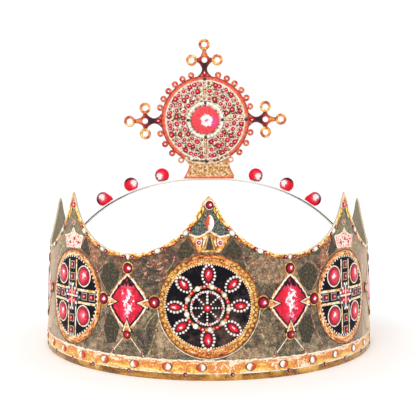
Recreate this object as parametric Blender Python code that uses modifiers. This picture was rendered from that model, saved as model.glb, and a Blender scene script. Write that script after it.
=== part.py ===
"""A printed paper crown of die-cut card.

A front panel with five peaks is rolled round the head and closed behind by a plain low strap. A thin card
arch crosses over the top and carries six gem tabs and a pierced round finial.

Metres, +Z up. The origin is on the floor at the centre of the ring, and the crown's front faces -Y.
"""

from math import acos, asin, atan2, cos, hypot, pi, radians, sin, sqrt, tau

import bmesh
import bpy

MM = 0.001

CARD = 0.8 * MM                        # stiff printed card of the panel, strap, tabs and finial
STRIP_CARD = 0.6 * MM                  # the arch is cut from thinner card
GAP = 0.3 * MM                         # left between pieces that are glued or slotted together

RING_RADIUS = 95 * MM                  # outer face of the panel at the bottom rim
WALL_LEAN = 0.0253                     # how far the wall leans in for each unit of height

PEAK_PITCH = radians(46.63)
OUTER_PEAK = 2                         # peaks are numbered from -2 to 2, with 0 at the front
TIP_HEIGHTS = (82.2 * MM, 84.5 * MM)   # every other peak is a little taller
GABLE_HALF_WIDTH = 2.9 * MM            # the straight-sided point on top of each peak
TROUGH_HEIGHT = 55.6 * MM
TROUGH_ARC_RADIUS = 39 * MM
TROUGH_ARC_STEPS = 13
PANEL_END = radians(121)               # past the last trough, measured from the front

STRAP_HEIGHT = 38 * MM
STRAP_LAP = radians(7.5)               # how far the strap reaches in behind each end of the panel
STRAP_STEPS = 56

ARCH_TOP = 93.8 * MM
ARCH_FLAT_HALF = 6.7 * MM              # the level stretch under the finial
ARCH_SPRING_HEIGHT = 25 * MM           # where the arch meets the wall and turns down as a glue tab
ARCH_HALF_WIDTH = 3 * MM
ARCH_STEPS = 24
ARCH_RISE = ARCH_TOP - ARCH_SPRING_HEIGHT
ARCH_CURVE_REACH = RING_RADIUS - WALL_LEAN * ARCH_SPRING_HEIGHT - CARD - GAP - ARCH_FLAT_HALF
TAB_HALF_WIDTH = 6 * MM
TAB_FOOT_HEIGHT = 6 * MM
TAB_TAPER = 3 * MM                     # height over which the strip widens into its glue tab

GEM_RADIUS = 4.3 * MM
GEM_STAND = 4.4 * MM                   # the gem's centre above the strip
GEM_NECK_HALF_WIDTH = 1.3 * MM
GEM_BASE_DROP = 3.5 * MM               # the flat base below the gem's centre
GEM_REACHES = (62.05 * MM, 46.0 * MM, 27.8 * MM)   # how far out along X each stands, from the outside in
HEEL_REACH = 4.9 * MM                  # the outermost gem runs out to a blunt heel on its uphill side
HEEL_HEIGHT = 2.0 * MM
HEEL_TANGENT = radians(48)             # where the heel's straight top leaves the gem's round
GEM_STEPS = 20

DISC_CENTRE = (-2.2 * MM, 129.8 * MM)  # X and Z
DISC_LEAN = radians(0.85)              # the finial leans a little to the left
DISC_RADIUS = 27 * MM

LOOP_RADIUS = 1.95 * MM
LOOP_HOLE_RADIUS = 0.95 * MM
LOOP_REACH = 28.6 * MM                 # the loops' centres from the disc's centre
LOOP_STEPS = 9
UPPER_LOOPS = [radians(16.8 + 11.4 * step) for step in range(6)]
LOWER_LOOPS = [radians(106 + 14 * step) for step in range(4)]

CROSSLET_REACH = 36.8 * MM             # the crosslets' centre holes from the disc's centre
CROSSLET_HOLE_RADIUS = 1.75 * MM
RING_OUTER_RADIUS = 3.4 * MM
RING_HOLE_RADIUS = 1.8 * MM
RING_STEPS = 13
END_RING_REACH = 9.5 * MM              # the outermost ring from the crosslet's centre
SIDE_RING_REACH = 7.85 * MM
RING_NECK_HALF_WIDTH = 1.1 * MM
UPPER_WEB_MIDDLE = (2.1 * MM, 2.5 * MM)    # where the body's hollow sides are deepest, across and outward
LOWER_WEB_MIDDLE = (2.2 * MM, -3.5 * MM)
WAIST_HALF_WIDTH = 1.6 * MM
WAIST_DROP = 5.7 * MM                  # the stem's narrowest place, inward from the centre hole
FLARE_MIDDLE = (2.3 * MM, -8.1 * MM)
FLARE_HALF_WIDTH = 4.5 * MM            # the stem where it runs into the disc's rim
HOLLOW_STEPS = 4                       # in each hollow curve of a crosslet or of the foot

FOOT_LEVEL = ARCH_TOP + GAP - DISC_CENTRE[1]
FOOT_OFFSET = 2.1 * MM                 # the foot is centred on the crown, to the right of the disc's centre
FOOT_HALF_WIDTH = 15.6 * MM
FOOT_WAIST_HALF_WIDTH = 12.3 * MM
FOOT_WAIST_DROP = 27.2 * MM            # below the disc's centre
FOOT_FLANK_MIDDLE = (13.3 * MM, -30.6 * MM)


def clear_scene():
    for item in list(bpy.data.objects):
        bpy.data.objects.remove(item, do_unlink=True)


def card_material(name, colour, roughness):
    material = bpy.data.materials.new(name)
    material.use_nodes = True
    shader = material.node_tree.nodes["Principled BSDF"]
    shader.inputs["Base Color"].default_value = (*colour, 1)
    shader.inputs["Roughness"].default_value = roughness
    shader.inputs["Metallic"].default_value = 0
    return material


def add_part(name, data, collection, material):
    part = bpy.data.objects.new(name, data)
    data.materials.append(material)
    collection.objects.link(part)
    return part


def wall_radius(height):
    """The panel's outer face at a height."""
    return RING_RADIUS - WALL_LEAN * height


def rolled(point, depth):
    """A point of a flat card sheet, rolled into the ring: X runs round it, Y is into the card, Z is up."""
    angle = point.x / RING_RADIUS
    radius = wall_radius(point.z) - depth - point.y
    return radius * sin(angle), -radius * cos(angle), point.z


def rolled_sheet(name, columns, depth):
    """A sheet of card with a row of columns, each a place along the ring and a height, rolled up with its
    printed face that deep inside the panel's."""
    sheet = bmesh.new()
    bmesh.ops.create_grid(sheet, x_segments=len(columns) - 1, y_segments=1, size=0.5)
    for vertex in sheet.verts:
        along, top = columns[round((vertex.co.x + 0.5) * (len(columns) - 1))]
        vertex.co = (along, 0, top if vertex.co.y > 0 else 0)
    extruded = bmesh.ops.extrude_face_region(sheet, geom=sheet.faces[:])["geom"]
    back = [item for item in extruded if isinstance(item, bmesh.types.BMVert)]
    bmesh.ops.translate(sheet, verts=back, vec=(0, CARD, 0))
    bmesh.ops.recalc_face_normals(sheet, faces=sheet.faces[:])
    for vertex in sheet.verts:
        vertex.co = rolled(vertex.co, depth)
    mesh = bpy.data.meshes.new(name)
    sheet.to_mesh(mesh)
    sheet.free()
    return mesh


def half_peak(tip_height):
    """Columns from a tip to the foot of its slope: a straight gable, then an arc that ends level."""
    half_pitch = PEAK_PITCH * RING_RADIUS / 2
    steepest = asin((half_pitch - GABLE_HALF_WIDTH) / TROUGH_ARC_RADIUS)
    columns = [(0, tip_height)]
    for step in range(TROUGH_ARC_STEPS, -1, -1):
        slope = steepest * step / TROUGH_ARC_STEPS
        along = half_pitch - TROUGH_ARC_RADIUS * sin(slope)
        columns.append((along, TROUGH_HEIGHT + TROUGH_ARC_RADIUS * (1 - cos(slope))))
    return columns


def panel_columns():
    end = PANEL_END * RING_RADIUS
    columns = {-end: TROUGH_HEIGHT, end: TROUGH_HEIGHT}
    for peak in range(-OUTER_PEAK, OUTER_PEAK + 1):
        tip = peak * PEAK_PITCH * RING_RADIUS
        for along, top in half_peak(TIP_HEIGHTS[peak % 2]):
            columns[round(tip - along, 7)] = top
            columns[round(tip + along, 7)] = top
    return sorted(columns.items())


def front_band(collection):
    paper = card_material("printed card panel", (0.16, 0.13, 0.08), 0.45)
    add_part("front_band", rolled_sheet("front_band", panel_columns(), 0), collection, paper)


def back_strap(collection):
    start = PANEL_END - STRAP_LAP
    step = (tau - 2 * start) / STRAP_STEPS
    columns = [((start + step * index) * RING_RADIUS, STRAP_HEIGHT) for index in range(STRAP_STEPS + 1)]
    board = card_material("plain card strap", (0.27, 0.22, 0.16), 0.75)
    add_part("back_strap", rolled_sheet("back_strap", columns, CARD + GAP), collection, board)


def strip_wall(height):
    """The outer face of the arch's glue tab, just inside the panel."""
    return wall_radius(height) - CARD - GAP


def arch_point(turn):
    """The arch's outer line: a quarter ellipse from its level top (0) to where it meets the wall (pi / 2)."""
    return ARCH_FLAT_HALF + ARCH_CURVE_REACH * sin(turn), ARCH_SPRING_HEIGHT + ARCH_RISE * cos(turn)


def arch_turn(reach):
    """The turn of the arch's point that lies this far out."""
    return asin((reach - ARCH_FLAT_HALF) / ARCH_CURVE_REACH)


def arch_normal(turn):
    """The direction that faces out of the arch, across and up."""
    across = ARCH_RISE * sin(turn)
    upward = ARCH_CURVE_REACH * cos(turn)
    length = hypot(across, upward)
    return across / length, upward / length


def strip_stations():
    """How far out, how high and how wide to each side the right half of the strip is, from its top down."""
    stations = [(0, ARCH_TOP, ARCH_HALF_WIDTH)]
    for step in range(ARCH_STEPS + 1):
        stations.append((*arch_point(pi / 2 * step / ARCH_STEPS), ARCH_HALF_WIDTH))
    for height in (ARCH_SPRING_HEIGHT - TAB_TAPER, TAB_FOOT_HEIGHT):
        stations.append((strip_wall(height), height, TAB_HALF_WIDTH))
    return stations


def arch_strip(collection):
    """Half a ribbon, mirrored and given its thickness, with its tabs bent to the wall's curve."""
    stations = strip_stations()
    ribbon = bmesh.new()
    bmesh.ops.create_grid(ribbon, x_segments=len(stations) - 1, y_segments=2, size=0.5)
    for vertex in ribbon.verts:
        reach, height, half_width = stations[round((vertex.co.x + 0.5) * (len(stations) - 1))]
        bend = 2 * vertex.co.y * half_width / RING_RADIUS
        vertex.co = (reach * cos(bend), RING_RADIUS * sin(bend), height)
    mesh = bpy.data.meshes.new("arch_strip")
    ribbon.to_mesh(mesh)
    ribbon.free()
    board = card_material("thin card strip", (0.55, 0.50, 0.44), 0.6)
    strip = add_part("arch_strip", mesh, collection, board)
    mirror = strip.modifiers.new("other half", "MIRROR")
    mirror.merge_threshold = 0.0001
    shell = strip.modifiers.new("card thickness", "SOLIDIFY")
    shell.thickness = STRIP_CARD
    shell.offset = -1
    shell.use_even_offset = True


def arc(centre, radius, start, end, steps):
    """Points along an arc, from one angle to another. Angles turn from +X towards +Y."""
    angles = [start + (end - start) * step / steps for step in range(steps + 1)]
    return [(centre[0] + radius * cos(angle), centre[1] + radius * sin(angle)) for angle in angles]


def hollow_curve(start, middle, end, steps):
    """Points along the parabola that leaves start, passes through middle half-way and reaches end."""
    points = []
    for step in range(steps + 1):
        along = step / steps
        first = (1 - along) * (1 - 2 * along)
        second = 4 * along * (1 - along)
        third = along * (2 * along - 1)
        across = first * start[0] + second * middle[0] + third * end[0]
        up = first * start[1] + second * middle[1] + third * end[1]
        points.append((across, up))
    return points


def flat_card(name, outlines, place, collection, material):
    """Outlines on a flat card that stands up facing -Y, with each hole as an outline of its own."""
    curve = bpy.data.curves.new(name, "CURVE")
    curve.dimensions = "2D"
    curve.fill_mode = "BOTH"
    curve.extrude = CARD / 2
    for outline in outlines:
        spline = curve.splines.new("POLY")
        spline.points.add(len(outline) - 1)
        for point, (across, up) in zip(spline.points, outline):
            point.co = (across, up, 0, 1)
        spline.use_cyclic_u = True
    part = add_part(name, curve, collection, material)
    part.location = (place[0], 0, place[1])
    part.rotation_euler = (pi / 2, 0, 0)
    return part


def turned(point, angle, centre=(0, 0)):
    """A point turned clockwise as seen from the front, then moved to a centre."""
    across, up = point
    return (
        centre[0] + across * cos(angle) + up * sin(angle),
        centre[1] - across * sin(angle) + up * cos(angle),
    )


def gem_outline(heeled):
    """The left side's round gem with a flat base on a short neck, which stops just above the strip."""
    corner = acos(GEM_BASE_DROP / GEM_RADIUS)
    if heeled:
        heel = [(HEEL_REACH, -GEM_BASE_DROP), (HEEL_REACH, HEEL_HEIGHT - GEM_BASE_DROP)]
        outline = heel + arc((0, 0), GEM_RADIUS, HEEL_TANGENT, 3 * pi / 2 - corner, GEM_STEPS)
    else:
        outline = arc((0, 0), GEM_RADIUS, corner - pi / 2, 3 * pi / 2 - corner, GEM_STEPS)
    foot = GAP - GEM_STAND
    neck = [(-1, -GEM_BASE_DROP), (-1, foot), (1, foot), (1, -GEM_BASE_DROP)]
    return outline + [(side * GEM_NECK_HALF_WIDTH, height) for side, height in neck]


def arch_gems(collection):
    gem_card = card_material("printed gem tab", (0.75, 0.02, 0.05), 0.35)
    for number, reach in enumerate(GEM_REACHES, start=1):
        turn = arch_turn(reach)
        foot = arch_point(turn)
        normal = arch_normal(turn)
        tilt = atan2(normal[0], normal[1])
        for side, word in ((-1, "left"), (1, "right")):
            outline = [turned((-side * across, up), side * tilt) for across, up in gem_outline(number == 1)]
            place = (side * (foot[0] + normal[0] * GEM_STAND), foot[1] + normal[1] * GEM_STAND)
            flat_card(f"arch_gem_{word}_{number}", [outline], place, collection, gem_card)


def crosslet_half():
    """The right half of a crosslet's outline, from its outermost point to where its stem meets the disc.
    Its centre hole is at (0, 0), and it points up."""
    pinch = asin(RING_NECK_HALF_WIDTH / RING_OUTER_RADIUS)
    end_ring = arc((0, END_RING_REACH), RING_OUTER_RADIUS, pi / 2, pinch - pi / 2, RING_STEPS)
    side_ring = arc((SIDE_RING_REACH, 0), RING_OUTER_RADIUS, pi - pinch, pinch - pi, RING_STEPS)
    waist = (WAIST_HALF_WIDTH, -WAIST_DROP)
    stem_foot = (FLARE_HALF_WIDTH, sqrt(DISC_RADIUS**2 - FLARE_HALF_WIDTH**2) - CROSSLET_REACH)
    return (
        end_ring
        + hollow_curve(end_ring[-1], UPPER_WEB_MIDDLE, side_ring[0], HOLLOW_STEPS)[1:-1]
        + side_ring
        + hollow_curve(side_ring[-1], LOWER_WEB_MIDDLE, waist, HOLLOW_STEPS)[1:]
        + hollow_curve(waist, FLARE_MIDDLE, stem_foot, HOLLOW_STEPS)[1:]
    )


def crosslet(bearing):
    """A whole crosslet's outline, clockwise round the disc, which it points away from along this bearing."""
    half = crosslet_half()
    other_half = [(-across, up) for across, up in reversed(half[1:])]
    centre = turned((0, CROSSLET_REACH), bearing)
    return [turned(point, bearing, centre) for point in other_half + half]


def crosslet_holes(bearing):
    centre = turned((0, CROSSLET_REACH), bearing)
    holes = [((0, 0), CROSSLET_HOLE_RADIUS), ((0, END_RING_REACH), RING_HOLE_RADIUS)]
    holes += [((side * SIDE_RING_REACH, 0), RING_HOLE_RADIUS) for side in (-1, 1)]
    outlines = []
    for hole, radius in holes:
        outlines.append(arc(turned(hole, bearing, centre), radius, 0, tau, RING_STEPS)[:-1])
    return outlines


def rim_loop(bearing):
    """The part of a small loop's outline that stands out of the disc's rim, clockwise."""
    opening = acos((LOOP_REACH**2 + LOOP_RADIUS**2 - DISC_RADIUS**2) / (2 * LOOP_REACH * LOOP_RADIUS))
    outline = arc((0, LOOP_REACH), LOOP_RADIUS, 3 * pi / 2 - opening, opening - pi / 2, LOOP_STEPS)
    return [turned(point, bearing) for point in outline]


def rim_loop_hole(bearing):
    return arc(turned((0, LOOP_REACH), bearing), LOOP_HOLE_RADIUS, 0, tau, LOOP_STEPS)[:-1]


def bearing_of(point):
    """Clockwise from the top of the disc, as seen from the front."""
    return atan2(point[0], point[1]) % tau


def finial_side():
    """The disc's right side, clockwise: upper loops, a crosslet and lower loops, joined along the rim."""
    shapes = [rim_loop(bearing) for bearing in UPPER_LOOPS]
    shapes.append(crosslet(pi / 2))
    shapes += [rim_loop(bearing) for bearing in LOWER_LOOPS]
    outline = [shapes[0][0]]
    for shape, following in zip(shapes, shapes[1:] + [None]):
        outline += shape[1:]
        if following:
            between = (bearing_of(shape[-1]) + bearing_of(following[0])) / 2
            outline += [turned((0, DISC_RADIUS), between), following[0]]
    return outline


def side_and_foot(side):
    """One side of the disc and of the flared foot, from the top crosslet down. The foot's flank cuts off what
    it covers of the lowest loop."""
    offset = side * FOOT_OFFSET
    outline = finial_side()
    while outline[-1][0] < FOOT_WAIST_HALF_WIDTH + offset:
        outline.pop()
    waist = (FOOT_WAIST_HALF_WIDTH, -FOOT_WAIST_DROP)
    flank = hollow_curve(waist, FOOT_FLANK_MIDDLE, (FOOT_HALF_WIDTH, FOOT_LEVEL), HOLLOW_STEPS)
    outline += [(across + offset, up) for across, up in flank]
    return [(side * across, up) for across, up in outline]


def finial_outlines():
    outline = crosslet(0) + side_and_foot(1) + side_and_foot(-1)[::-1]
    outlines = [outline]
    for bearing in (-pi / 2, 0, pi / 2):
        outlines += crosslet_holes(bearing)
    for bearing in UPPER_LOOPS + LOWER_LOOPS:
        outlines += [rim_loop_hole(side * bearing) for side in (-1, 1)]
    return outlines


def finial_disc(collection):
    """The disc and all its trim lean to the left, while the foot's base stays level on the strip."""
    leaning = []
    for outline in finial_outlines():
        leaning.append([p if p[1] <= FOOT_LEVEL else turned(p, -DISC_LEAN) for p in outline])
    printed = card_material("printed finial card", (0.55, 0.2, 0.07), 0.4)
    flat_card("finial_disc", leaning, DISC_CENTRE, collection, printed)


def main():
    clear_scene()
    crown = bpy.data.collections.new("paper crown")
    bpy.context.scene.collection.children.link(crown)
    front_band(crown)
    back_strap(crown)
    arch_strip(crown)
    arch_gems(crown)
    finial_disc(crown)


main()
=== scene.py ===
"""How the paper crown looks: its die-cut card, its jewelled print, its arch of gem tabs and its finial.

Print is laid out flat in millimetres, as it was before the card was rolled, with Z as its low relief. It is
then rolled round the ring or stood up on the finial.
"""

from math import acos, asin, atan2, cos, hypot, pi, radians, sin, sqrt, tau

import bmesh
import bpy
import numpy as np
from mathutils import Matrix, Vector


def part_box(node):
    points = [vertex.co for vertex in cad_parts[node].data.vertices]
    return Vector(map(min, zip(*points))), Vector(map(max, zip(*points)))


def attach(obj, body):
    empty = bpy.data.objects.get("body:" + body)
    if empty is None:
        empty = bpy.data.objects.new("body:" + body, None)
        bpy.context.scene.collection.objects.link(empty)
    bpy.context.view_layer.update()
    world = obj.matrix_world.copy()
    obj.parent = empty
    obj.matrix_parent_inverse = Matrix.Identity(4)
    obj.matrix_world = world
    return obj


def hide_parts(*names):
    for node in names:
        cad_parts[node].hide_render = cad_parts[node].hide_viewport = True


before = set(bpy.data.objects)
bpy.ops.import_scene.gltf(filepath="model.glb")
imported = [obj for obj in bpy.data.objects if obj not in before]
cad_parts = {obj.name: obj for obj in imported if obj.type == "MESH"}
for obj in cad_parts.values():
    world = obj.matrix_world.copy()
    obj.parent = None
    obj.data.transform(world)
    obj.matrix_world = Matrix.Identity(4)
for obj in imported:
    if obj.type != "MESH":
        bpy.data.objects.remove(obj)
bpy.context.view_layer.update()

# The studio: a white floor under even light from all round, as for a cut-out in a catalogue. The camera
# looks at the crown's front from close by, a little below the middle of its height.
MM = 0.001
CAMERA_DISTANCE = 340.6 * MM
CAMERA_HEIGHT = 78.1 * MM
CAMERA_DIP = radians(0.35)
LENS = 48.06
LENS_SHIFT = -0.0021
FLOOR_HALF_WIDTH = 3000 * MM
SKY_STRENGTH = 1.03
KEY_POWER = 2.2
KEY_WIDTH = 500 * MM
KEY_PLACE = (-450 * MM, -750 * MM, 850 * MM)
KEY_TURN = (radians(48), 0, radians(-31))


def linear(colour):
    """An sRGB hex colour as linear light."""
    channels = [int(colour[start:start + 2], 16) / 255 for start in (1, 3, 5)]
    return (*[c / 12.92 if c <= 0.04045 else ((c + 0.055) / 1.055) ** 2.4 for c in channels], 1)


def add_node(tree, kind, inputs=(), stops=(), **settings):
    """Adds a node. Its inputs are values, or the sockets or nodes that feed it, stops a ramp's colours."""
    node = tree.nodes.new(kind)
    for name, value in settings.items():
        setattr(node, name, value)
    for socket, value in dict(inputs).items():
        if isinstance(value, bpy.types.Node):
            value = value.outputs[0]
        if isinstance(value, bpy.types.NodeSocket):
            tree.links.new(value, node.inputs[socket])
        else:
            node.inputs[socket].default_value = value
    if stops:
        elements = node.color_ramp.elements
        elements.remove(elements[1])
        elements[0].position = stops[0][0]
        elements[0].color = linear(stops[0][1])
        for place, colour in stops[1:]:
            elements.new(place).color = linear(colour)
    return node


def new_material(name, **sockets):
    """A material with its shader's plain values set, such as Roughness=0.5, and the tree to finish it in."""
    material = bpy.data.materials.new(name)
    material.use_nodes = True
    shader = material.node_tree.nodes["Principled BSDF"]
    for socket, value in sockets.items():
        shader.inputs[socket.replace("_", " ")].default_value = value
    return material, material.node_tree, shader


camera = bpy.data.objects.new("camera", bpy.data.cameras.new("camera"))
camera.location = (0, -CAMERA_DISTANCE, CAMERA_HEIGHT)
camera.rotation_euler = (pi / 2 - CAMERA_DIP, 0, 0)
camera.data.lens = LENS
camera.data.shift_x = LENS_SHIFT
bpy.context.scene.collection.objects.link(camera)
bpy.context.scene.camera = camera
bpy.context.scene.view_settings.view_transform = "Standard"

world = bpy.data.worlds.new("white studio")
world.use_nodes = True
world.node_tree.nodes["Background"].inputs["Color"].default_value = (1, 1, 1, 1)
world.node_tree.nodes["Background"].inputs["Strength"].default_value = SKY_STRENGTH
bpy.context.scene.world = world

key = bpy.data.objects.new("key light", bpy.data.lights.new("key light", "AREA"))
key.data.energy = KEY_POWER
key.data.size = KEY_WIDTH
key.location = KEY_PLACE
key.rotation_euler = KEY_TURN
bpy.context.scene.collection.objects.link(key)

floor_shape = bmesh.new()
bmesh.ops.create_grid(floor_shape, x_segments=1, y_segments=1, size=FLOOR_HALF_WIDTH)
floor_mesh = bpy.data.meshes.new("floor")
floor_shape.to_mesh(floor_mesh)
floor_shape.free()
floor = bpy.data.objects.new("floor", floor_mesh)
bpy.context.scene.collection.objects.link(floor)
floor_paper, tree, shader = new_material(
    "background paper, matt white", Roughness=0.9, Emission_Strength=0.06
)
grain = add_node(tree, "ShaderNodeTexNoise", {"Scale": 1 / (4 * MM), "Detail": 3})
shade = add_node(tree, "ShaderNodeValToRGB", {"Fac": grain}, stops=[(0.3, "#fdfdfd"), (0.7, "#ffffff")])
tree.links.new(shade.outputs["Color"], shader.inputs["Base Color"])
floor_mesh.materials.append(floor_paper)

# The front panel is one long sheet of coated white-top board, die-cut along its peaks and rolled round the
# front and sides. Its face is printed, its back is bare grey-brown board, and its cut edge is pale.
RING_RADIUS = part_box("front_band")[1].x / MM
WALL_LEAN = 0.0253
CARD = 0.8
PEAK_PITCH = radians(46.63) * RING_RADIUS
OUTER_PEAK = 2
TIP_HEIGHTS = (82.2, 84.5)
GABLE_HALF_WIDTH = 2.9
TROUGH_HEIGHT = 55.6
TROUGH_ARC_RADIUS = 39
PANEL_END_ANGLE = 121
PANEL_END = radians(PANEL_END_ANGLE) * RING_RADIUS
EDGE_STEPS = 28
END_STEPS = 5
END_DROPS = (4.5, 2, 0.8, 0.2, 0)
WALL_ROWS = 6


def half_peak(tip_height):
    """From a tip down to the middle of the trough beside it: how far from the tip, how high, how steep."""
    half_pitch = PEAK_PITCH / 2
    steepest = asin((half_pitch - GABLE_HALF_WIDTH) / TROUGH_ARC_RADIUS)
    shoulder = TROUGH_HEIGHT + TROUGH_ARC_RADIUS * (1 - cos(steepest))
    gable = atan2(tip_height - shoulder, GABLE_HALF_WIDTH)
    line = [(0, tip_height, gable), (GABLE_HALF_WIDTH / 2, (tip_height + shoulder) / 2, gable)]
    for slope in np.linspace(steepest, 0, EDGE_STEPS + 1):
        along = half_pitch - TROUGH_ARC_RADIUS * sin(slope)
        line.append((along, TROUGH_HEIGHT + TROUGH_ARC_RADIUS * (1 - cos(slope)), slope))
    return line


def panel_edge(inset=0):
    """The panel's cut top edge from end to end, or a line that far inside it, closed under each tip."""
    end_run = np.linspace(PANEL_END, (OUTER_PEAK + 0.5) * PEAK_PITCH, END_STEPS, endpoint=False)
    edge = [(-along, TROUGH_HEIGHT - inset - drop) for along, drop in zip(end_run, END_DROPS)]
    for peak in range(-OUTER_PEAK, OUTER_PEAK + 1):
        tip_height = TIP_HEIGHTS[peak % 2]
        half = []
        for from_tip, height, slope in half_peak(tip_height):
            inner = (from_tip - inset * sin(slope), height - inset * cos(slope))
            if inner[0] <= 0:
                gable = half_peak(tip_height)[0][2]
                inner = (0, tip_height - inset / cos(gable))
            half.append(inner)
        edge += [(peak * PEAK_PITCH - across, up) for across, up in reversed(half)]
        edge += [(peak * PEAK_PITCH + across, up) for across, up in half[1:-1]]
    edge.append((-edge[END_STEPS][0], TROUGH_HEIGHT - inset))
    return edge + [(-along, up) for along, up in reversed(edge[:END_STEPS])]


def flat_points(mesh):
    points = np.empty(len(mesh.vertices) * 3, np.float32)
    mesh.vertices.foreach_get("co", points)
    return points.reshape(-1, 3)


def rolled(points):
    """Flat points, rolled into the leaning wall of the ring, in metres."""
    angle = points[:, 0] / RING_RADIUS
    radius = RING_RADIUS - WALL_LEAN * points[:, 1] + points[:, 2]
    return np.stack([radius * np.sin(angle), -radius * np.cos(angle), points[:, 1]], axis=1) * MM


def place(name, mesh, fold, slot):
    """Folds flat work into its place, keeps its flat places in mm as the UV map "sheet", and lets it ride."""
    points = flat_points(mesh)
    corners = np.empty(len(mesh.loops), np.int32)
    mesh.loops.foreach_get("vertex_index", corners)
    sheet = mesh.uv_layers.new(name="sheet")
    sheet.uv.foreach_set("vector", points[corners][:, :2].ravel())
    mesh.vertices.foreach_set("co", fold(points).astype(np.float32).ravel())
    mesh.update()
    piece = bpy.data.objects.new(name, mesh)
    bpy.context.scene.collection.objects.link(piece)
    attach(piece, "root")
    return piece


def card_sheet(name, edge, materials):
    """A flat sheet of card under a cut edge: printed face, bare back and cut sides, in that order."""
    sheet = bmesh.new()
    bmesh.ops.create_grid(sheet, x_segments=len(edge) - 1, y_segments=WALL_ROWS, size=0.5)
    for vertex in sheet.verts:
        along, top = edge[round((vertex.co.x + 0.5) * (len(edge) - 1))]
        vertex.co = (along, (vertex.co.y + 0.5) * top, 0)
    extruded = bmesh.ops.extrude_face_region(sheet, geom=sheet.faces[:])["geom"]
    back = [item for item in extruded if isinstance(item, bmesh.types.BMVert)]
    bmesh.ops.translate(sheet, verts=back, vec=(0, 0, -CARD))
    bmesh.ops.recalc_face_normals(sheet, faces=sheet.faces[:])
    for face in sheet.faces:
        face.smooth = abs(face.normal.z) > 0.5
        face.material_index = 2 if not face.smooth else int(face.normal.z < 0)
    for line in sheet.edges:
        line.smooth = all(face.smooth for face in line.link_faces)
    mesh = bpy.data.meshes.new(name)
    sheet.to_mesh(mesh)
    sheet.free()
    for material in materials:
        mesh.materials.append(material)
    return mesh


# Offset print on coated board under a thin satin varnish. The ground is worked up like old metal: soft-edged
# facets about 12 mm wide, some of them olive, in a brown that turns redder towards the top, with mottling
# about 3 mm across and a fine grain. Its varnish has a warm sheen where it is seen edge-on.
FACET = 12
MOTTLE = 2.6
GRAIN = 0.7
DRIFT = 8
BEND = 14
LOW_BROWN_UNDER = 52
HIGH_BROWN_OVER = 80
ground_ink, tree, shader = new_material(
    "offset print, brown ground", Roughness=0.5, Coat_Weight=1.0, Coat_Roughness=0.3, Coat_IOR=1.36,
    Sheen_Weight=1.0, Sheen_Roughness=0.35, Sheen_Tint=linear("#ffd4a6"), IOR=1.25,
)
sheet_map = add_node(tree, "ShaderNodeUVMap", uv_map="sheet")
mottles = add_node(
    tree, "ShaderNodeTexNoise", {"Vector": sheet_map, "Scale": 1 / MOTTLE, "Detail": 5, "Roughness": 0.68}
)
grain = add_node(tree, "ShaderNodeTexNoise", {"Vector": sheet_map, "Scale": 1 / GRAIN, "Detail": 2})
drift = add_node(tree, "ShaderNodeTexNoise", {"Vector": sheet_map, "Scale": 1 / DRIFT, "Detail": 4})
bent = add_node(
    tree, "ShaderNodeVectorMath", {0: drift.outputs["Color"], 1: (BEND, BEND, 0), 2: sheet_map},
    operation="MULTIPLY_ADD"
)
facets = add_node(
    tree, "ShaderNodeTexVoronoi", {"Vector": bent, "Scale": 1 / FACET, "Smoothness": 0.35},
    feature="SMOOTH_F1",
)
facet_tone = add_node(tree, "ShaderNodeSeparateColor", {"Color": facets.outputs["Color"]})
mixed = add_node(tree, "ShaderNodeMath", {0: mottles, 1: 1.8, 2: -1.23}, operation="MULTIPLY_ADD")
mixed = add_node(
    tree, "ShaderNodeMath", {0: facet_tone.outputs[0], 1: 0.5, 2: mixed}, operation="MULTIPLY_ADD"
)
mixed = add_node(tree, "ShaderNodeMath", {0: grain, 1: 1.2, 2: mixed}, operation="MULTIPLY_ADD")
height = add_node(tree, "ShaderNodeSeparateXYZ", {"Vector": sheet_map})
rise = add_node(tree, "ShaderNodeMath", {0: drift, 1: 45, 2: height.outputs["Y"]}, operation="MULTIPLY_ADD")
rise = add_node(
    tree, "ShaderNodeMapRange", {"Value": rise, "From Min": LOW_BROWN_UNDER, "From Max": HIGH_BROWN_OVER}
)
low_brown = add_node(
    tree, "ShaderNodeValToRGB", {"Fac": mixed},
    stops=[(0.05, "#221e19"), (0.3, "#4b3f30"), (0.5, "#7a654b"), (0.7, "#9c8160"), (0.95, "#c6a984")],
)
high_brown = add_node(
    tree, "ShaderNodeValToRGB", {"Fac": mixed},
    stops=[(0.1, "#241915"), (0.35, "#4b3429"), (0.55, "#755039"), (0.75, "#9a6848"), (0.98, "#cc9673")],
)
browns = add_node(tree, "ShaderNodeMix", {0: rise, 6: low_brown, 7: high_brown}, data_type="RGBA")
olive = add_node(
    tree, "ShaderNodeValToRGB", {"Fac": mixed},
    stops=[(0.05, "#20211a"), (0.35, "#454333"), (0.6, "#706950"), (0.95, "#aca27e")],
)
olive_share = add_node(
    tree, "ShaderNodeMapRange",
    {"Value": facet_tone.outputs[1], "From Min": 0.45, "From Max": 0.8, "To Max": 0.55}
)
clouded = add_node(tree, "ShaderNodeMix", {0: olive_share, 6: browns.outputs[2], 7: olive}, data_type="RGBA")
tree.links.new(clouded.outputs[2], shader.inputs["Base Color"])

# Bare grey-brown backing board, pressed from recycled pulp: matt, with flecks of fibre.
FIBRE = 1.4
board, tree, shader = new_material("grey board, uncoated back", Roughness=0.85)
place_on_board = add_node(tree, "ShaderNodeTexCoord").outputs["Object"]
fibres = add_node(
    tree, "ShaderNodeTexNoise",
    {"Vector": place_on_board, "Scale": 1 / (FIBRE * MM), "Detail": 4, "Distortion": 1.5}
)
tint = add_node(
    tree, "ShaderNodeValToRGB", {"Fac": fibres},
    stops=[(0.3, "#867963"), (0.5, "#938670"), (0.7, "#a29781")],
)
bumps = add_node(tree, "ShaderNodeBump", {"Height": fibres, "Strength": 0.15, "Distance": 0.1 * MM})
tree.links.new(tint.outputs["Color"], shader.inputs["Base Color"])
tree.links.new(bumps.outputs["Normal"], shader.inputs["Normal"])

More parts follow.
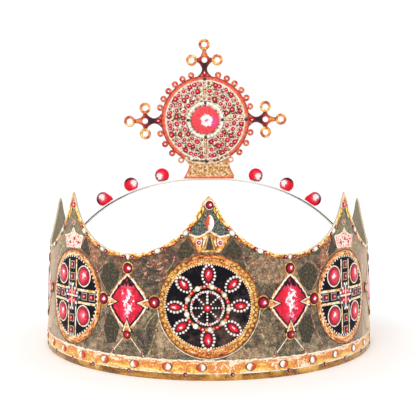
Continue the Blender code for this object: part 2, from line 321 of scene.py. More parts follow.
# The cut edge shows the board's white pulp between its two faces.
cut_edge, tree, shader = new_material("board core, die-cut edge", Roughness=0.8)
place_on_edge = add_node(tree, "ShaderNodeTexCoord").outputs["Object"]
plies = add_node(tree, "ShaderNodeTexNoise", {"Vector": place_on_edge, "Scale": 1 / (0.5 * MM), "Detail": 2})
tint = add_node(tree, "ShaderNodeValToRGB", {"Fac": plies}, stops=[(0.3, "#b9ab90"), (0.7, "#d6c8ae")])
tree.links.new(tint.outputs["Color"], shader.inputs["Base Color"])

panel = place(
    "front_panel", card_sheet("front_panel", panel_edge(), (ground_ink, board, cut_edge)), rolled,
    "printed_card",
)
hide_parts("front_band")

# The back strap is a plain low strip of the same board, glued inside the panel's two ends, so that the
# ring closes behind the head. Nothing is printed on it.
STRAP_HEIGHT = 38
STRAP_OVERLAP = 7.5
STRAP_START = radians(PANEL_END_ANGLE - STRAP_OVERLAP) * RING_RADIUS
STRAP_STEPS = 90
GLUE_GAP = 0.3
STRAP_DEPTH = CARD + GLUE_GAP


def rolled_strap(points):
    return rolled(points - (0, 0, STRAP_DEPTH))


strap_edge = [
    (along, STRAP_HEIGHT) for along in np.linspace(STRAP_START, tau * RING_RADIUS - STRAP_START, STRAP_STEPS)
]
strap = place(
    "back_strap_card", card_sheet("back_strap_card", strap_edge, (board, board, cut_edge)), rolled_strap,
    "plain_board",
)
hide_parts("back_strap")

# The gold border runs along the cut top edge and up into each tip. It is printed gold and embossed a little,
# pale at the card's edge and dark along its inner side, orange in the tips and yellow just below them.
LAYER = 0.1
SLICE = 2.4
TOP_BORDER = 2.4
STREAK = 4


def new_print():
    """Flat print. Its points keep their way across a band, the warmth of its gold and their strokes' run."""
    flat = bmesh.new()
    for name in ("across", "warmth"):
        flat.verts.layers.float.new(name)
    flat.verts.layers.float_vector.new("flow")
    return flat


def print_vertex(flat, point, lift, across, warmth, flow):
    layers = flat.verts.layers
    vertex = flat.verts.new((*point, lift))
    vertex[layers.float["across"]] = across
    vertex[layers.float["warmth"]] = warmth
    vertex[layers.float_vector["flow"]] = flow
    return vertex


def add_band(flat, first, second, lift=LAYER, across=(0, 1), warmth=0.5, ink=0, closed=False):
    """A band between two lines of points, with one warmth for all of it or one for each pair of points.

    Its flow is the middle of the band, and its third part the way across, so that noise runs along it.
    """
    warmths = [warmth] * len(first) if isinstance(warmth, (int, float)) else warmth
    columns = []
    for one, other, warm in zip(first, second, warmths):
        middle = ((one[0] + other[0]) / 2, (one[1] + other[1]) / 2)
        width = STREAK * hypot(one[0] - other[0], one[1] - other[1])
        columns.append((
            print_vertex(flat, one, lift, across[0], warm, (*middle, 0)),
            print_vertex(flat, other, lift, across[1], warm, (*middle, width)),
        ))
    for start in range(len(first) if closed else len(first) - 1):
        end = (start + 1) % len(first)
        face = flat.faces.new((columns[start][0], columns[end][0], columns[end][1], columns[start][1]))
        face.material_index = ink


def add_patch(flat, outline, lift=LAYER, across=0.5, warmth=0.5, ink=0):
    """A filled shape."""
    corners = [print_vertex(flat, point, lift, across, warmth, (*point, 0)) for point in outline]
    flat.faces.new(corners).material_index = ink


def finish_print(name, flat, inks, fold=rolled, slot="printed_card"):
    """Cuts flat print into slices that can follow the roll, gives it its low relief and puts it in place."""
    bmesh.ops.remove_doubles(flat, verts=flat.verts[:], dist=0.001)
    bmesh.ops.triangulate(flat, faces=[face for face in flat.faces if len(face.verts) > 4])
    left = min(vertex.co.x for vertex in flat.verts)
    right = max(vertex.co.x for vertex in flat.verts)
    for cut in np.arange(left + SLICE, right, SLICE):
        whole = flat.verts[:] + flat.edges[:] + flat.faces[:]
        bmesh.ops.bisect_plane(flat, geom=whole, plane_co=(cut, 0, 0), plane_no=(1, 0, 0), dist=0.001)
    flat.normal_update()
    for face in flat.faces:
        if face.normal.z < 0:
            face.normal_flip()
        face.smooth = True
    for line in flat.edges:
        line.smooth = not line.is_boundary
    mesh = bpy.data.meshes.new(name)
    flat.to_mesh(mesh)
    flat.free()
    for ink in inks:
        mesh.materials.append(ink)
    piece = place(name, mesh, fold, slot)
    relief = piece.modifiers.new("embossed relief", "SOLIDIFY")
    relief.thickness = LAYER * MM
    relief.offset = -1
    return piece


# Gold and coral are printed in strokes that run along their bands, and varnished. A print goes from its
# first colour to its last across a band, its strokes break that up, and warmth takes it to a second set.
FINE_STROKE = 0.9


def stroke_print(name, stops, warm_stops, stroke=3.5, unevenness=2.0):
    """Print in strokes about this many mm long."""
    material, tree, shader = new_material(
        name, Roughness=0.42, Coat_Weight=0.5, Coat_Roughness=0.2, Coat_IOR=1.3, Sheen_Weight=0.5,
        Sheen_Roughness=0.35, Sheen_Tint=linear("#ffe9a8"), IOR=1.3,
    )
    sheet_map = add_node(tree, "ShaderNodeUVMap", uv_map="sheet")
    flow = add_node(tree, "ShaderNodeAttribute", attribute_name="flow").outputs["Vector"]
    across = add_node(tree, "ShaderNodeAttribute", attribute_name="across").outputs["Fac"]
    warmth = add_node(tree, "ShaderNodeAttribute", attribute_name="warmth").outputs["Fac"]
    strokes = add_node(
        tree, "ShaderNodeTexNoise", {"Vector": flow, "Scale": 1 / stroke, "Detail": 4, "Roughness": 0.6}
    )
    dabs = add_node(tree, "ShaderNodeTexNoise", {"Vector": sheet_map, "Scale": 1 / FINE_STROKE, "Detail": 2})
    depth = add_node(
        tree, "ShaderNodeMath", {0: strokes, 1: unevenness, 2: across}, operation="MULTIPLY_ADD"
    )
    depth = add_node(
        tree, "ShaderNodeMath", {0: dabs, 1: unevenness * 0.55, 2: depth}, operation="MULTIPLY_ADD"
    )
    depth = add_node(tree, "ShaderNodeMath", {0: depth, 1: unevenness * 0.775}, operation="SUBTRACT")
    places = add_node(tree, "ShaderNodeTexNoise", {"Vector": sheet_map, "Scale": 1 / 5, "Detail": 2})
    warm = add_node(tree, "ShaderNodeMath", {0: places, 1: 1.1, 2: warmth}, operation="MULTIPLY_ADD")
    warm = add_node(tree, "ShaderNodeMath", {0: warm, 1: 0.55}, operation="SUBTRACT", use_clamp=True)
    cool_side = add_node(tree, "ShaderNodeValToRGB", {"Fac": depth}, stops=stops)
    warm_side = add_node(tree, "ShaderNodeValToRGB", {"Fac": depth}, stops=warm_stops)
    both = add_node(tree, "ShaderNodeMix", {0: warm, 6: cool_side, 7: warm_side}, data_type="RGBA")
    tree.links.new(both.outputs[2], shader.inputs["Base Color"])
    return material


gold_ink = stroke_print(
    "gold print, varnished",
    [
        (0.0, "#fffaea"), (0.18, "#f8dc80"), (0.45, "#ecac34"), (0.68, "#c07424"), (0.84, "#7c4420"),
        (1.0, "#452414"),
    ],
    [
        (0.0, "#fdebcf"), (0.2, "#f2b060"), (0.45, "#e07a34"), (0.7, "#c85a28"), (0.85, "#8e3a1c"),
        (1.0, "#4c1f16"),
    ],
    unevenness=3.0,
)


def tip_warmth(point):
    """Orange in a tip, yellow on its flanks and mixed along the troughs."""
    if point[1] > 77.5:
        return 1.0
    return 0.0 if point[1] > 70 else 0.42


border = new_print()
outer_line = panel_edge()
inner_line = panel_edge(TOP_BORDER)
add_band(
    border, outer_line, inner_line, across=(0.05, 0.95), warmth=[tip_warmth(point) for point in outer_line]
)
finish_print("top_border", border, [gold_ink])

# Stones and pearls are printed with their glints and dark rims, under a thick drop of varnish that stands
# up as a low dome. Each kind is cut from one blank, which is set at every place in its own size and turn.
BLANK_RINGS = (0.4, 0.7, 0.9, 1)
PEARL_RINGS = (0.65, 1)


def stone_blank(name, sides, rings, cut="round"):
    """A dome of radius and height 1. "rim" is 0 in its middle and 1 at its edge, "spot" the place on it."""
    blank = bmesh.new()
    rim = blank.verts.layers.float.new("rim")
    spot = blank.verts.layers.float_vector.new("spot")
    inner = [blank.verts.new((0, 0, 1))]
    for reach in rings:
        ring = []
        for side in range(sides):
            x = cos(tau * side / sides)
            y = sin(tau * side / sides)
            if cut == "marquise":
                x *= 1 - 0.3 * y * y
            if cut == "square":
                widest = max(abs(x), abs(y))
                x, y = x / widest, y / widest
            if cut == "lozenge":
                widest = (abs(x) + abs(y)) ** 0.74
                x, y = x / widest, y / widest
            vertex = blank.verts.new((x * reach, y * reach, sqrt(1 - reach * reach)))
            vertex[rim] = reach
            vertex[spot] = (x * reach, y * reach, 0)
            ring.append(vertex)
        for side in range(sides):
            following = (side + 1) % sides
            if len(inner) == 1:
                blank.faces.new((inner[0], ring[side], ring[following]))
            else:
                blank.faces.new((inner[side], ring[side], ring[following], inner[following]))
        inner = ring
    for face in blank.faces:
        face.smooth = True
    mesh = bpy.data.meshes.new(name)
    blank.to_mesh(mesh)
    blank.free()
    return bpy.data.objects.new(name, mesh)


ROUND_BLANK = stone_blank("round blank", 18, BLANK_RINGS)
MARQUISE_BLANK = stone_blank("marquise blank", 16, BLANK_RINGS, "marquise")
SQUARE_BLANK = stone_blank("square blank", 8, BLANK_RINGS, "square")
PEARL_BLANK = stone_blank("pearl blank", 9, PEARL_RINGS)


def new_tree(name, sockets):
    """A Geometry Nodes tree with named inputs for its sizes, and the nodes at its two ends."""
    tree = bpy.data.node_groups.new(name, "GeometryNodeTree")
    tree.interface.new_socket("Geometry", in_out="INPUT", socket_type="NodeSocketGeometry")
    for socket, kind in sockets:
        tree.interface.new_socket(socket, in_out="INPUT", socket_type="NodeSocket" + kind)
    tree.interface.new_socket("Geometry", in_out="OUTPUT", socket_type="NodeSocketGeometry")
    return tree, add_node(tree, "NodeGroupInput").outputs


def end_tree(tree, instances, finish):
    """Makes instances real, gives them their finish and hands them out."""
    real = add_node(tree, "GeometryNodeRealizeInstances", {"Geometry": instances})
    finished = add_node(tree, "GeometryNodeSetMaterial", {"Geometry": real, "Material": finish})
    add_node(tree, "NodeGroupOutput", {"Geometry": finished})


def grown(source, tree, **values):
    """What a tree makes from a source of points or lines, as a plain mesh. The source is removed."""
    bpy.context.scene.collection.objects.link(source)
    modifier = source.modifiers.new(tree.name, "NODES")
    modifier.node_group = tree
    for item in tree.interface.items_tree:
        if item.in_out == "INPUT" and item.name in values:
            modifier[item.identifier] = values[item.name]
    graph = bpy.context.evaluated_depsgraph_get()
    mesh = bpy.data.meshes.new_from_object(source.evaluated_get(graph))
    source.modifiers.clear()
    bpy.data.objects.remove(source)
    return mesh


set_stones, inputs = new_tree("set stones", [("Blank", "Object"), ("Finish", "Material"), ("Seed", "Int")])
blank = add_node(set_stones, "GeometryNodeObjectInfo", {"Object": inputs["Blank"]})
turn = add_node(set_stones, "GeometryNodeInputNamedAttribute", {"Name": "turn"})
size = add_node(set_stones, "GeometryNodeInputNamedAttribute", {"Name": "size"}, data_type="FLOAT_VECTOR")
about_z = add_node(set_stones, "ShaderNodeCombineXYZ", {"Z": turn})
stones = add_node(
    set_stones, "GeometryNodeInstanceOnPoints",
    {"Points": inputs["Geometry"], "Instance": blank.outputs["Geometry"],
     "Rotation": about_z, "Scale": size},
)
tone = add_node(set_stones, "FunctionNodeRandomValue", {"Seed": inputs["Seed"]}, data_type="FLOAT")
toned = add_node(
    set_stones, "GeometryNodeStoreNamedAttribute",
    {"Geometry": stones, "Name": "tone", "Value": tone.outputs[1]},
    data_type="FLOAT", domain="INSTANCE",
)
end_tree(set_stones, toned, inputs["Finish"])

string_beads, inputs = new_tree(
    "string beads", [("Blank", "Object"), ("Spacing", "Float"), ("Finish", "Material"), ("Seed", "Int")]
)
blank = add_node(string_beads, "GeometryNodeObjectInfo", {"Object": inputs["Blank"]})
places = add_node(
    string_beads, "GeometryNodeResampleCurve", {"Curve": inputs["Geometry"], "Length": inputs["Spacing"]},
    mode="LENGTH"
)
radius = add_node(string_beads, "GeometryNodeInputRadius")
uneven = add_node(
    string_beads, "FunctionNodeRandomValue", {2: 0.75, 3: 1.2, "Seed": inputs["Seed"]}, data_type="FLOAT"
)
bead_size = add_node(string_beads, "ShaderNodeMath", {0: radius, 1: uneven.outputs[1]}, operation="MULTIPLY")
low_dome = add_node(
    string_beads, "ShaderNodeVectorMath", {0: bead_size, 1: (1, 1, 0.4)}, operation="MULTIPLY"
)
beads = add_node(
    string_beads, "GeometryNodeInstanceOnPoints",
    {"Points": places, "Instance": blank.outputs["Geometry"], "Scale": low_dome},
)
tone = add_node(string_beads, "FunctionNodeRandomValue", {"Seed": inputs["Seed"]}, data_type="FLOAT")
toned = add_node(
    string_beads, "GeometryNodeStoreNamedAttribute",
    {"Geometry": beads, "Name": "tone", "Value": tone.outputs[1]},
    data_type="FLOAT", domain="INSTANCE",
)
end_tree(string_beads, toned, inputs["Finish"])

raise_lines, inputs = new_tree("raise lines", [("Flatness", "Float"), ("Finish", "Material")])
half_round = add_node(
    raise_lines, "GeometryNodeCurveArc",
    {"Resolution": 5, "Radius": 1, "Start Angle": pi, "Sweep Angle": pi}, mode="RADIUS",
)
flatten = add_node(raise_lines, "ShaderNodeCombineXYZ", {"X": 1, "Y": inputs["Flatness"], "Z": 1})
profile = add_node(raise_lines, "GeometryNodeTransform", {"Geometry": half_round, "Scale": flatten})
width = add_node(raise_lines, "GeometryNodeInputRadius")
line = add_node(
    raise_lines, "GeometryNodeCurveToMesh",
    {"Curve": inputs["Geometry"], "Profile Curve": profile, "Scale": width},
)
end_tree(raise_lines, line, inputs["Finish"])


def stones_at(name, blank, rows, finish, fold=rolled, slot="printed_card", lift=0.15, proud=0.35, seed=1):
    """Stones of one kind. Each row has a place across and up, half a width, half a height and a turn."""
    mesh = bpy.data.meshes.new(name)
    mesh.from_pydata([(row[0], row[1], lift) for row in rows], [], [])
    turns = mesh.attributes.new("turn", "FLOAT", "POINT")
    turns.data.foreach_set("value", [row[4] for row in rows])
    sizes = mesh.attributes.new("size", "FLOAT_VECTOR", "POINT")
    sizes.data.foreach_set(
        "vector", [size for row in rows for size in (row[2], row[3], proud * min(row[2], row[3], 1.5))]
    )
    source = bpy.data.objects.new(name, mesh)
    return place(name, grown(source, set_stones, Blank=blank, Finish=finish, Seed=seed), fold, slot)


def line_source(name, lines, lift):
    """Curves to raise or to string with beads: each is its points, half its width, and if it is closed."""
    curve = bpy.data.curves.new(name, "CURVE")
    curve.dimensions = "3D"
    for points, half_width, closed in lines:
        spline = curve.splines.new("POLY")
        spline.points.add(len(points) - 1)
        for point, (x, y) in zip(spline.points, points):
            point.co = (x, y, lift, 1)
            point.radius = half_width
        spline.use_cyclic_u = closed
    return bpy.data.objects.new(name, curve)


def lines_at(name, lines, finish, fold=rolled, slot="printed_card", lift=0.1, flatness=0.5):
    source = line_source(name, lines, lift)
    mesh = grown(source, raise_lines, Flatness=flatness, Finish=finish)
    for face in mesh.polygons:
        face.use_smooth = True
    return place(name, mesh, fold, slot)


def beads_at(name, lines, spacing, finish, fold=rolled, slot="printed_card", lift=0.12, seed=1):
    source = line_source(name, lines, lift)
    mesh = grown(source, string_beads, Blank=PEARL_BLANK, Spacing=spacing, Finish=finish, Seed=seed)
    return place(name, mesh, fold, slot)


def polar(centre, radius, angle, height=None):
    """The point at an angle on a circle, or on an ellipse if it has a height."""
    return centre[0] + radius * cos(angle), centre[1] + (height or radius) * sin(angle)


def arc(centre, radius, start, end, steps, height=None):
    """Points along an arc between two angles in degrees, +X towards +Y, of an ellipse if it has a height."""
    angles = [radians(start + (end - start) * step / steps) for step in range(steps + 1)]
    return [polar(centre, radius, angle, height) for angle in angles]


def circle(centre, radius, steps, height=None):
    """The points of a whole circle or ellipse, for a closed line."""
    return arc(centre, radius, 0, 360, steps, height)[:-1]


def moved(points, across, up=0, flip=1):
    return [(across + flip * point[0], up + point[1]) for point in points]


# Ruby print: a red body with a dark rim, and a ragged white glint in a pink haze, which sits a little
# differently on each stone. The varnish over it is thick and glossy.
def ruby_print(
    name, body, deep, rim_colour, haze, glint_size=0.28, glint_sway=(-0.12, 0.28), glint_rise=0.12
):
    material, tree, shader = new_material(
        name, Roughness=0.35, Coat_Weight=0.2, Coat_Roughness=0.12, Coat_IOR=1.3, IOR=1.2
    )
    rim = add_node(tree, "ShaderNodeAttribute", attribute_name="rim").outputs["Fac"]
    spot = add_node(tree, "ShaderNodeAttribute", attribute_name="spot").outputs["Vector"]
    tone = add_node(tree, "ShaderNodeAttribute", attribute_name="tone").outputs["Fac"]
    shifted = add_node(tree, "ShaderNodeVectorMath", {0: tone, 1: (17, 31, 7)}, operation="MULTIPLY")
    patch = add_node(tree, "ShaderNodeVectorMath", {0: spot, 1: shifted}, operation="ADD")
    ragged = add_node(
        tree, "ShaderNodeTexNoise", {"Vector": patch, "Scale": 2.4, "Detail": 3, "Roughness": 0.6}
    )
    drift = add_node(
        tree, "ShaderNodeVectorMath", {0: ragged.outputs["Color"], 1: (0.5, 0.5, 0.5)}, operation="SUBTRACT"
    )
    wander = add_node(
        tree, "ShaderNodeVectorMath", {0: drift, 1: (1.1, 1.1, 0), 2: spot}, operation="MULTIPLY_ADD"
    )
    side = add_node(
        tree, "ShaderNodeMapRange", {"Value": tone, "To Min": glint_sway[0], "To Max": glint_sway[1]}
    )
    centre = add_node(tree, "ShaderNodeCombineXYZ", {"X": side, "Y": glint_rise})
    reach = add_node(tree, "ShaderNodeVectorMath", {0: wander, 1: centre}, operation="DISTANCE")
    body_tone = add_node(tree, "ShaderNodeMath", {0: ragged, 1: 0.55, 2: rim}, operation="MULTIPLY_ADD")
    reds = add_node(
        tree, "ShaderNodeValToRGB", {"Fac": body_tone},
        stops=[(0.3, body), (0.85, deep), (1.18 / 1.2, deep), (1.0, rim_colour)],
    )
    darker = add_node(
        tree, "ShaderNodeMapRange", {"Value": rim, "From Min": 0.8, "From Max": 1.0, "To Max": 0.9}
    )
    rimmed = add_node(tree, "ShaderNodeMix", {0: darker, 6: reds, 7: linear(rim_colour)}, data_type="RGBA")
    hazed_share = add_node(
        tree, "ShaderNodeMapRange",
        {
            "Value": reach.outputs["Value"], "From Min": glint_size * 1.9, "From Max": glint_size * 0.9,
            "To Max": 0.6,
        },
    )
    hazed = add_node(
        tree, "ShaderNodeMix", {0: hazed_share, 6: rimmed.outputs[2], 7: linear(haze)}, data_type="RGBA"
    )
    glint_share = add_node(
        tree, "ShaderNodeMapRange",
        {"Value": reach.outputs["Value"], "From Min": glint_size, "From Max": glint_size * 0.75},
    )
    glinting = add_node(
        tree, "ShaderNodeMix", {0: glint_share, 6: hazed.outputs[2], 7: linear("#fffafa")}, data_type="RGBA"
    )
    tree.links.new(glinting.outputs[2], shader.inputs["Base Color"])
    return material


ruby = ruby_print("ruby print, varnished", "#ec2438", "#d41a2e", "#6a0e1a", "#f25a70", 0.25)
dark_ruby = ruby_print(
    "dark ruby print, varnished", "#bc1838", "#9c1028", "#4c0e1a", "#e05c76", 0.27, glint_sway=(0.02, 0.34),
    glint_rise=0.0
)
pink_ruby = ruby_print("pink ruby print, varnished", "#f03c52", "#e22e44", "#a82038", "#f88e9c", 0.28)


# Pearl print: white with a soft grey or warm shade round the rim, one a little different from the next.
def pearl_print(name, middle, edge, rim_colour):
    material, tree, shader = new_material(
        name, Roughness=0.35, Coat_Weight=0.5, Coat_Roughness=0.15, IOR=1.3
    )
    rim = add_node(tree, "ShaderNodeAttribute", attribute_name="rim").outputs["Fac"]
    tone = add_node(tree, "ShaderNodeAttribute", attribute_name="tone").outputs["Fac"]
    shade = add_node(tree, "ShaderNodeMath", {0: tone, 1: 0.35, 2: rim}, operation="MULTIPLY_ADD")
    whites = add_node(
        tree, "ShaderNodeValToRGB", {"Fac": shade},
        stops=[(0.55, middle), (0.85, edge), (1.0, rim_colour)],
    )
    tree.links.new(whites.outputs[0], shader.inputs["Base Color"])
    return material


pearl = pearl_print("pearl print", "#ffffff", "#f3e9e2", "#c4a898")
gold_bead = pearl_print("gold bead print", "#efb850", "#c98632", "#7c4822")
cream_bead = pearl_print("cream bead print", "#fffaf0", "#ecd4b0", "#a87850")
green_stone = pearl_print("green stone print", "#6c9c4c", "#4c7c38", "#2f5224")

# Clusters on the top border: a white baroque pearl between two small rubies, with a green chip under it,
# on both slopes of each peak, and a white notch between dark rubies in each trough.
CLUSTER_PLACES = ((11.6, 1.5), (24.1, 1.2))
border_pearls = []
border_rubies = []
border_greens = []


def slope_place(from_tip, depth):
    """A place on the slope beside a tip, that deep under the cut edge, and the slope there."""
    slope = asin((PEAK_PITCH / 2 - from_tip) / TROUGH_ARC_RADIUS)
    height = TROUGH_HEIGHT + TROUGH_ARC_RADIUS * (1 - cos(slope))
    return from_tip - depth * sin(slope), height - depth * cos(slope), slope


for peak in range(-OUTER_PEAK, OUTER_PEAK + 1):
    for side in (-1, 1):
        for from_tip, depth in CLUSTER_PLACES:
            across_tip, up, slope = slope_place(from_tip, depth)
            middle = peak * PEAK_PITCH + side * across_tip
            border_pearls.append((middle, up, 1.65, 1.2, -side * slope))
            for end in (-1, 1):
                for rows, reach, under, size in (
                    (border_rubies, 2.35, 0, 1.1), (border_greens, 1.5, 0.65, 0.75)
                ):
                    along = reach * end
                    rows.append((
                        middle + along * cos(slope) - side * under * sin(slope),
                        up - side * along * sin(slope) - under * cos(slope), size, 0.8 * size, -side * slope,
                    ))
for trough in range(-OUTER_PEAK, OUTER_PEAK + 2):
    middle = (trough - 0.5) * PEAK_PITCH
    border_pearls.append((middle, TROUGH_HEIGHT - 1.3, 0.95, 1.5, 0))
    for side in (-1, 1):
        border_rubies.append((middle + 2.4 * side, TROUGH_HEIGHT - 1.2, 1.0, 0.8, 0))
stones_at("border_pearls", ROUND_BLANK, border_pearls, pearl, seed=3)
stones_at("border_rubies", ROUND_BLANK, border_rubies, dark_ruby, seed=4)
stones_at("border_green_chips", ROUND_BLANK, border_greens, green_stone, seed=5)

# The bottom border is printed in two tiers along the panel's lower edge: a wide bright one set with
# red-and-white ovals, and a narrow dull one set with small rubies. Cream lines part them from the ground.
LOWER_TIER = 3.1
UPPER_TIER = 8.6
OVAL_HEIGHT = 5.8
SMALL_RUBY_HEIGHT = 2.6
upper_tier_ink = stroke_print(
    "bright gold tier print, varnished",
    [
        (0.0, "#fff0d0"), (0.15, "#f0ac60"), (0.32, "#dc7a30"), (0.5, "#eaa440"), (0.72, "#f2c85c"),
        (1.0, "#fbeab0"),
    ],
    [
        (0.0, "#fbe2c4"), (0.15, "#e89058"), (0.32, "#cc5426"), (0.5, "#e08438"), (0.72, "#f0b44c"),
        (1.0, "#fae0a0"),
    ],
    7, 2.2,
)
lower_tier_ink = stroke_print(
    "dull gold tier print, varnished",
    [(0.0, "#fbe6b0"), (0.3, "#eabc6a"), (0.5, "#d8a248"), (0.7, "#bc8634"), (1.0, "#744a22")],
    [(0.0, "#f0c894"), (0.3, "#da9c4e"), (0.5, "#c07c36"), (0.7, "#9c5e28"), (1.0, "#5c331a")],
    9, 1.4,
)
tiers = new_print()
stations = list(np.arange(-PANEL_END, PANEL_END, 4)) + [PANEL_END]
add_band(
    tiers, [(s, LOWER_TIER) for s in stations], [(s, 0.05) for s in stations], across=(0.2, 0.75),
    warmth=0.3, ink=1
)
add_band(
    tiers, [(s, UPPER_TIER) for s in stations], [(s, LOWER_TIER) for s in stations], across=(0.05, 0.9),
    warmth=0.28
)
finish_print("bottom_border", tiers, [upper_tier_ink, lower_tier_ink])


# Line print: lines and small panes of one ink that varies every 2 mm or less, as hand-drawn work does.
def line_print(name, stops, size=1.8):
    material, tree, shader = new_material(name, Roughness=0.5, IOR=1.3)
    sheet_map = add_node(tree, "ShaderNodeUVMap", uv_map="sheet")
    clouds = add_node(tree, "ShaderNodeTexNoise", {"Vector": sheet_map, "Scale": 1 / size, "Detail": 3})
    tints = add_node(tree, "ShaderNodeValToRGB", {"Fac": clouds}, stops=stops)
    tree.links.new(tints.outputs[0], shader.inputs["Base Color"])
    return material


cream_ink = line_print("cream line print", [(0.3, "#cf9a58"), (0.42, "#ecd2a4"), (0.55, "#fffaf0")])

border_lines = [
    ([(s, LOWER_TIER) for s in stations], 0.22, False),
    (
        [
            (s, UPPER_TIER + 0.15 + 0.3 * sin(1.3 * s) * sin(0.37 * s))
            for s in np.arange(-PANEL_END, PANEL_END, 1.2)
        ],
        0.36, False,
    ),
]
lines_at("bottom_border_lines", border_lines, cream_ink, lift=0.2)
OVAL_PITCH = 16
SMALL_RUBY_PLACES = (10.5, 37.3, 58.3, 74.3, 92.5, 112, 130, 150, 170, 188)
oval_places = [side * (2.8 + OVAL_PITCH * step) for side in (-1, 1) for step in range(1, 13)] + [-3.4]
ovals = []
oval_outlines = []
for middle in oval_places:
    turn = 0.3 * sin(3 * middle) + (pi if middle > 0 or middle < -25 else 0)
    ovals.append((middle + 0.5 * sin(middle), OVAL_HEIGHT, 2.2, 1.55, turn))
    oval_outlines.append((circle((middle + 0.5 * sin(middle), OVAL_HEIGHT), 2.3, 16, 1.65), 0.2, True))

# The ovals are printed orange-red on one side and white on the other, with a brown shadow round the white.
oval_ink, tree, shader = new_material(
    "two-tone oval print, varnished", Roughness=0.35, Coat_Weight=0.5, IOR=1.3
)
rim = add_node(tree, "ShaderNodeAttribute", attribute_name="rim").outputs["Fac"]
spot = add_node(tree, "ShaderNodeAttribute", attribute_name="spot").outputs["Vector"]
tone = add_node(tree, "ShaderNodeAttribute", attribute_name="tone").outputs["Fac"]
shifted = add_node(tree, "ShaderNodeVectorMath", {0: tone, 1: (23, 11, 5)}, operation="MULTIPLY")
patch = add_node(tree, "ShaderNodeVectorMath", {0: spot, 1: shifted}, operation="ADD")
ragged = add_node(tree, "ShaderNodeTexNoise", {"Vector": patch, "Scale": 1.8, "Detail": 3})
parts = add_node(tree, "ShaderNodeSeparateXYZ", {"Vector": spot})
side = add_node(tree, "ShaderNodeMath", {0: ragged, 1: 1.6, 2: parts.outputs["X"]}, operation="MULTIPLY_ADD")
halves = add_node(
    tree, "ShaderNodeValToRGB", {"Fac": side},
    stops=[(0.3, "#cc4420"), (0.64, "#e87840"), (0.78, "#f7c8a4"), (0.9, "#ffffff")],
)
shadow = add_node(tree, "ShaderNodeMath", {0: parts.outputs["X"], 1: 0.35, 2: rim}, operation="MULTIPLY_ADD")
shadow = add_node(tree, "ShaderNodeMapRange", {"Value": shadow, "From Min": 1.02, "From Max": 1.2})
shaded = add_node(tree, "ShaderNodeMix", {0: shadow, 6: halves, 7: linear("#6a3820")}, data_type="RGBA")
tree.links.new(shaded.outputs[2], shader.inputs["Base Color"])
stones_at("bottom_border_ovals", ROUND_BLANK, ovals, oval_ink, lift=0.2, seed=11)
small_rubies = [
    (side * middle, SMALL_RUBY_HEIGHT, 1.15, 1.1, 0) for middle in SMALL_RUBY_PLACES for side in (-1, 1)
]
stones_at("bottom_border_ruby_rings", ROUND_BLANK, small_rubies, pearl, lift=0.2, proud=0.2, seed=13)
small_rubies = [(x, y, 0.98, 0.94, 0) for x, y, *_ in small_rubies]
stones_at("bottom_border_rubies", ROUND_BLANK, small_rubies, dark_ruby, lift=0.35, seed=14)

# Wheel roundels, printed under every other peak: a gold ring round a black field, with eight marquise rubies
# in pearls about a hub of gold, pearls and small rubies.
WHEEL_MIDDLE = 33.0
RING_OUTER = 23.2
RING_INNER = (20.0, 19.2)
HUB = (-0.7, -0.9)
HUB_RING = 9.6
HUB_PEARLS = 7.3
HUB_SMALL_RUBIES = 6.9
SPOKE_REACHES = (2.4, 6.6)
WHEEL_PLACES = (-2 * PEAK_PITCH, 0, 2 * PEAK_PITCH)
MARQUISES = (
    (-0.1, 13.8, 3.7, 2.2), (10.9, 9.7, 3.4, 1.9), (14.1, 0.0, 3.2, 1.8), (10.9, -9.9, 3.4, 1.9),
    (-0.4, -14.7, 3.8, 2.2), (-12.3, -9.3, 3.4, 1.9), (-15.2, -0.6, 3.2, 1.7), (-11.4, 9.4, 3.4, 1.9),
)

# Black field print: near-black ink with brown showing through in patches, most of all low on the right.
field_ink, tree, shader = new_material("black field print", Roughness=0.6, IOR=1.2)
sheet_map = add_node(tree, "ShaderNodeUVMap", uv_map="sheet")
clouds = add_node(
    tree, "ShaderNodeTexNoise", {"Vector": sheet_map, "Scale": 1 / 5, "Detail": 5, "Roughness": 0.7}
)
on_sheet = add_node(tree, "ShaderNodeSeparateXYZ", {"Vector": sheet_map})
from_wheel = add_node(
    tree, "ShaderNodeMath", {0: on_sheet.outputs["X"], 1: PEAK_PITCH, 2: -PEAK_PITCH}, operation="WRAP"
)
in_wheel = add_node(tree, "ShaderNodeCombineXYZ", {"X": from_wheel, "Y": on_sheet.outputs["Y"]})
from_worn = add_node(tree, "ShaderNodeVectorMath", {0: in_wheel, 1: (7, 22, 0)}, operation="DISTANCE")
worn = add_node(
    tree, "ShaderNodeMapRange",
    {"Value": from_worn.outputs["Value"], "From Min": 24, "From Max": 5, "To Max": 0.2}
)
worn = add_node(tree, "ShaderNodeMath", {0: clouds, 1: worn}, operation="ADD")
blacks = add_node(
    tree, "ShaderNodeValToRGB", {"Fac": worn},
    stops=[(0.5, "#0c0b14"), (0.58, "#17141b"), (0.68, "#3c2d2b"), (0.85, "#6a5245")],
)
tree.links.new(blacks.outputs[0], shader.inputs["Base Color"])

# Raised gold lines, their dark outlines and their cream edges are printed last, in one pass each.
gold_line_ink = line_print(
    "gold line print", [(0.3, "#9c5a26"), (0.45, "#d68f3e"), (0.58, "#f2c46c"), (0.7, "#fff0c8")]
)
outline_ink = line_print("dark outline print", [(0.3, "#4a2c18"), (0.5, "#7c4c28"), (0.7, "#b87a3e")])
cream_arcs = []

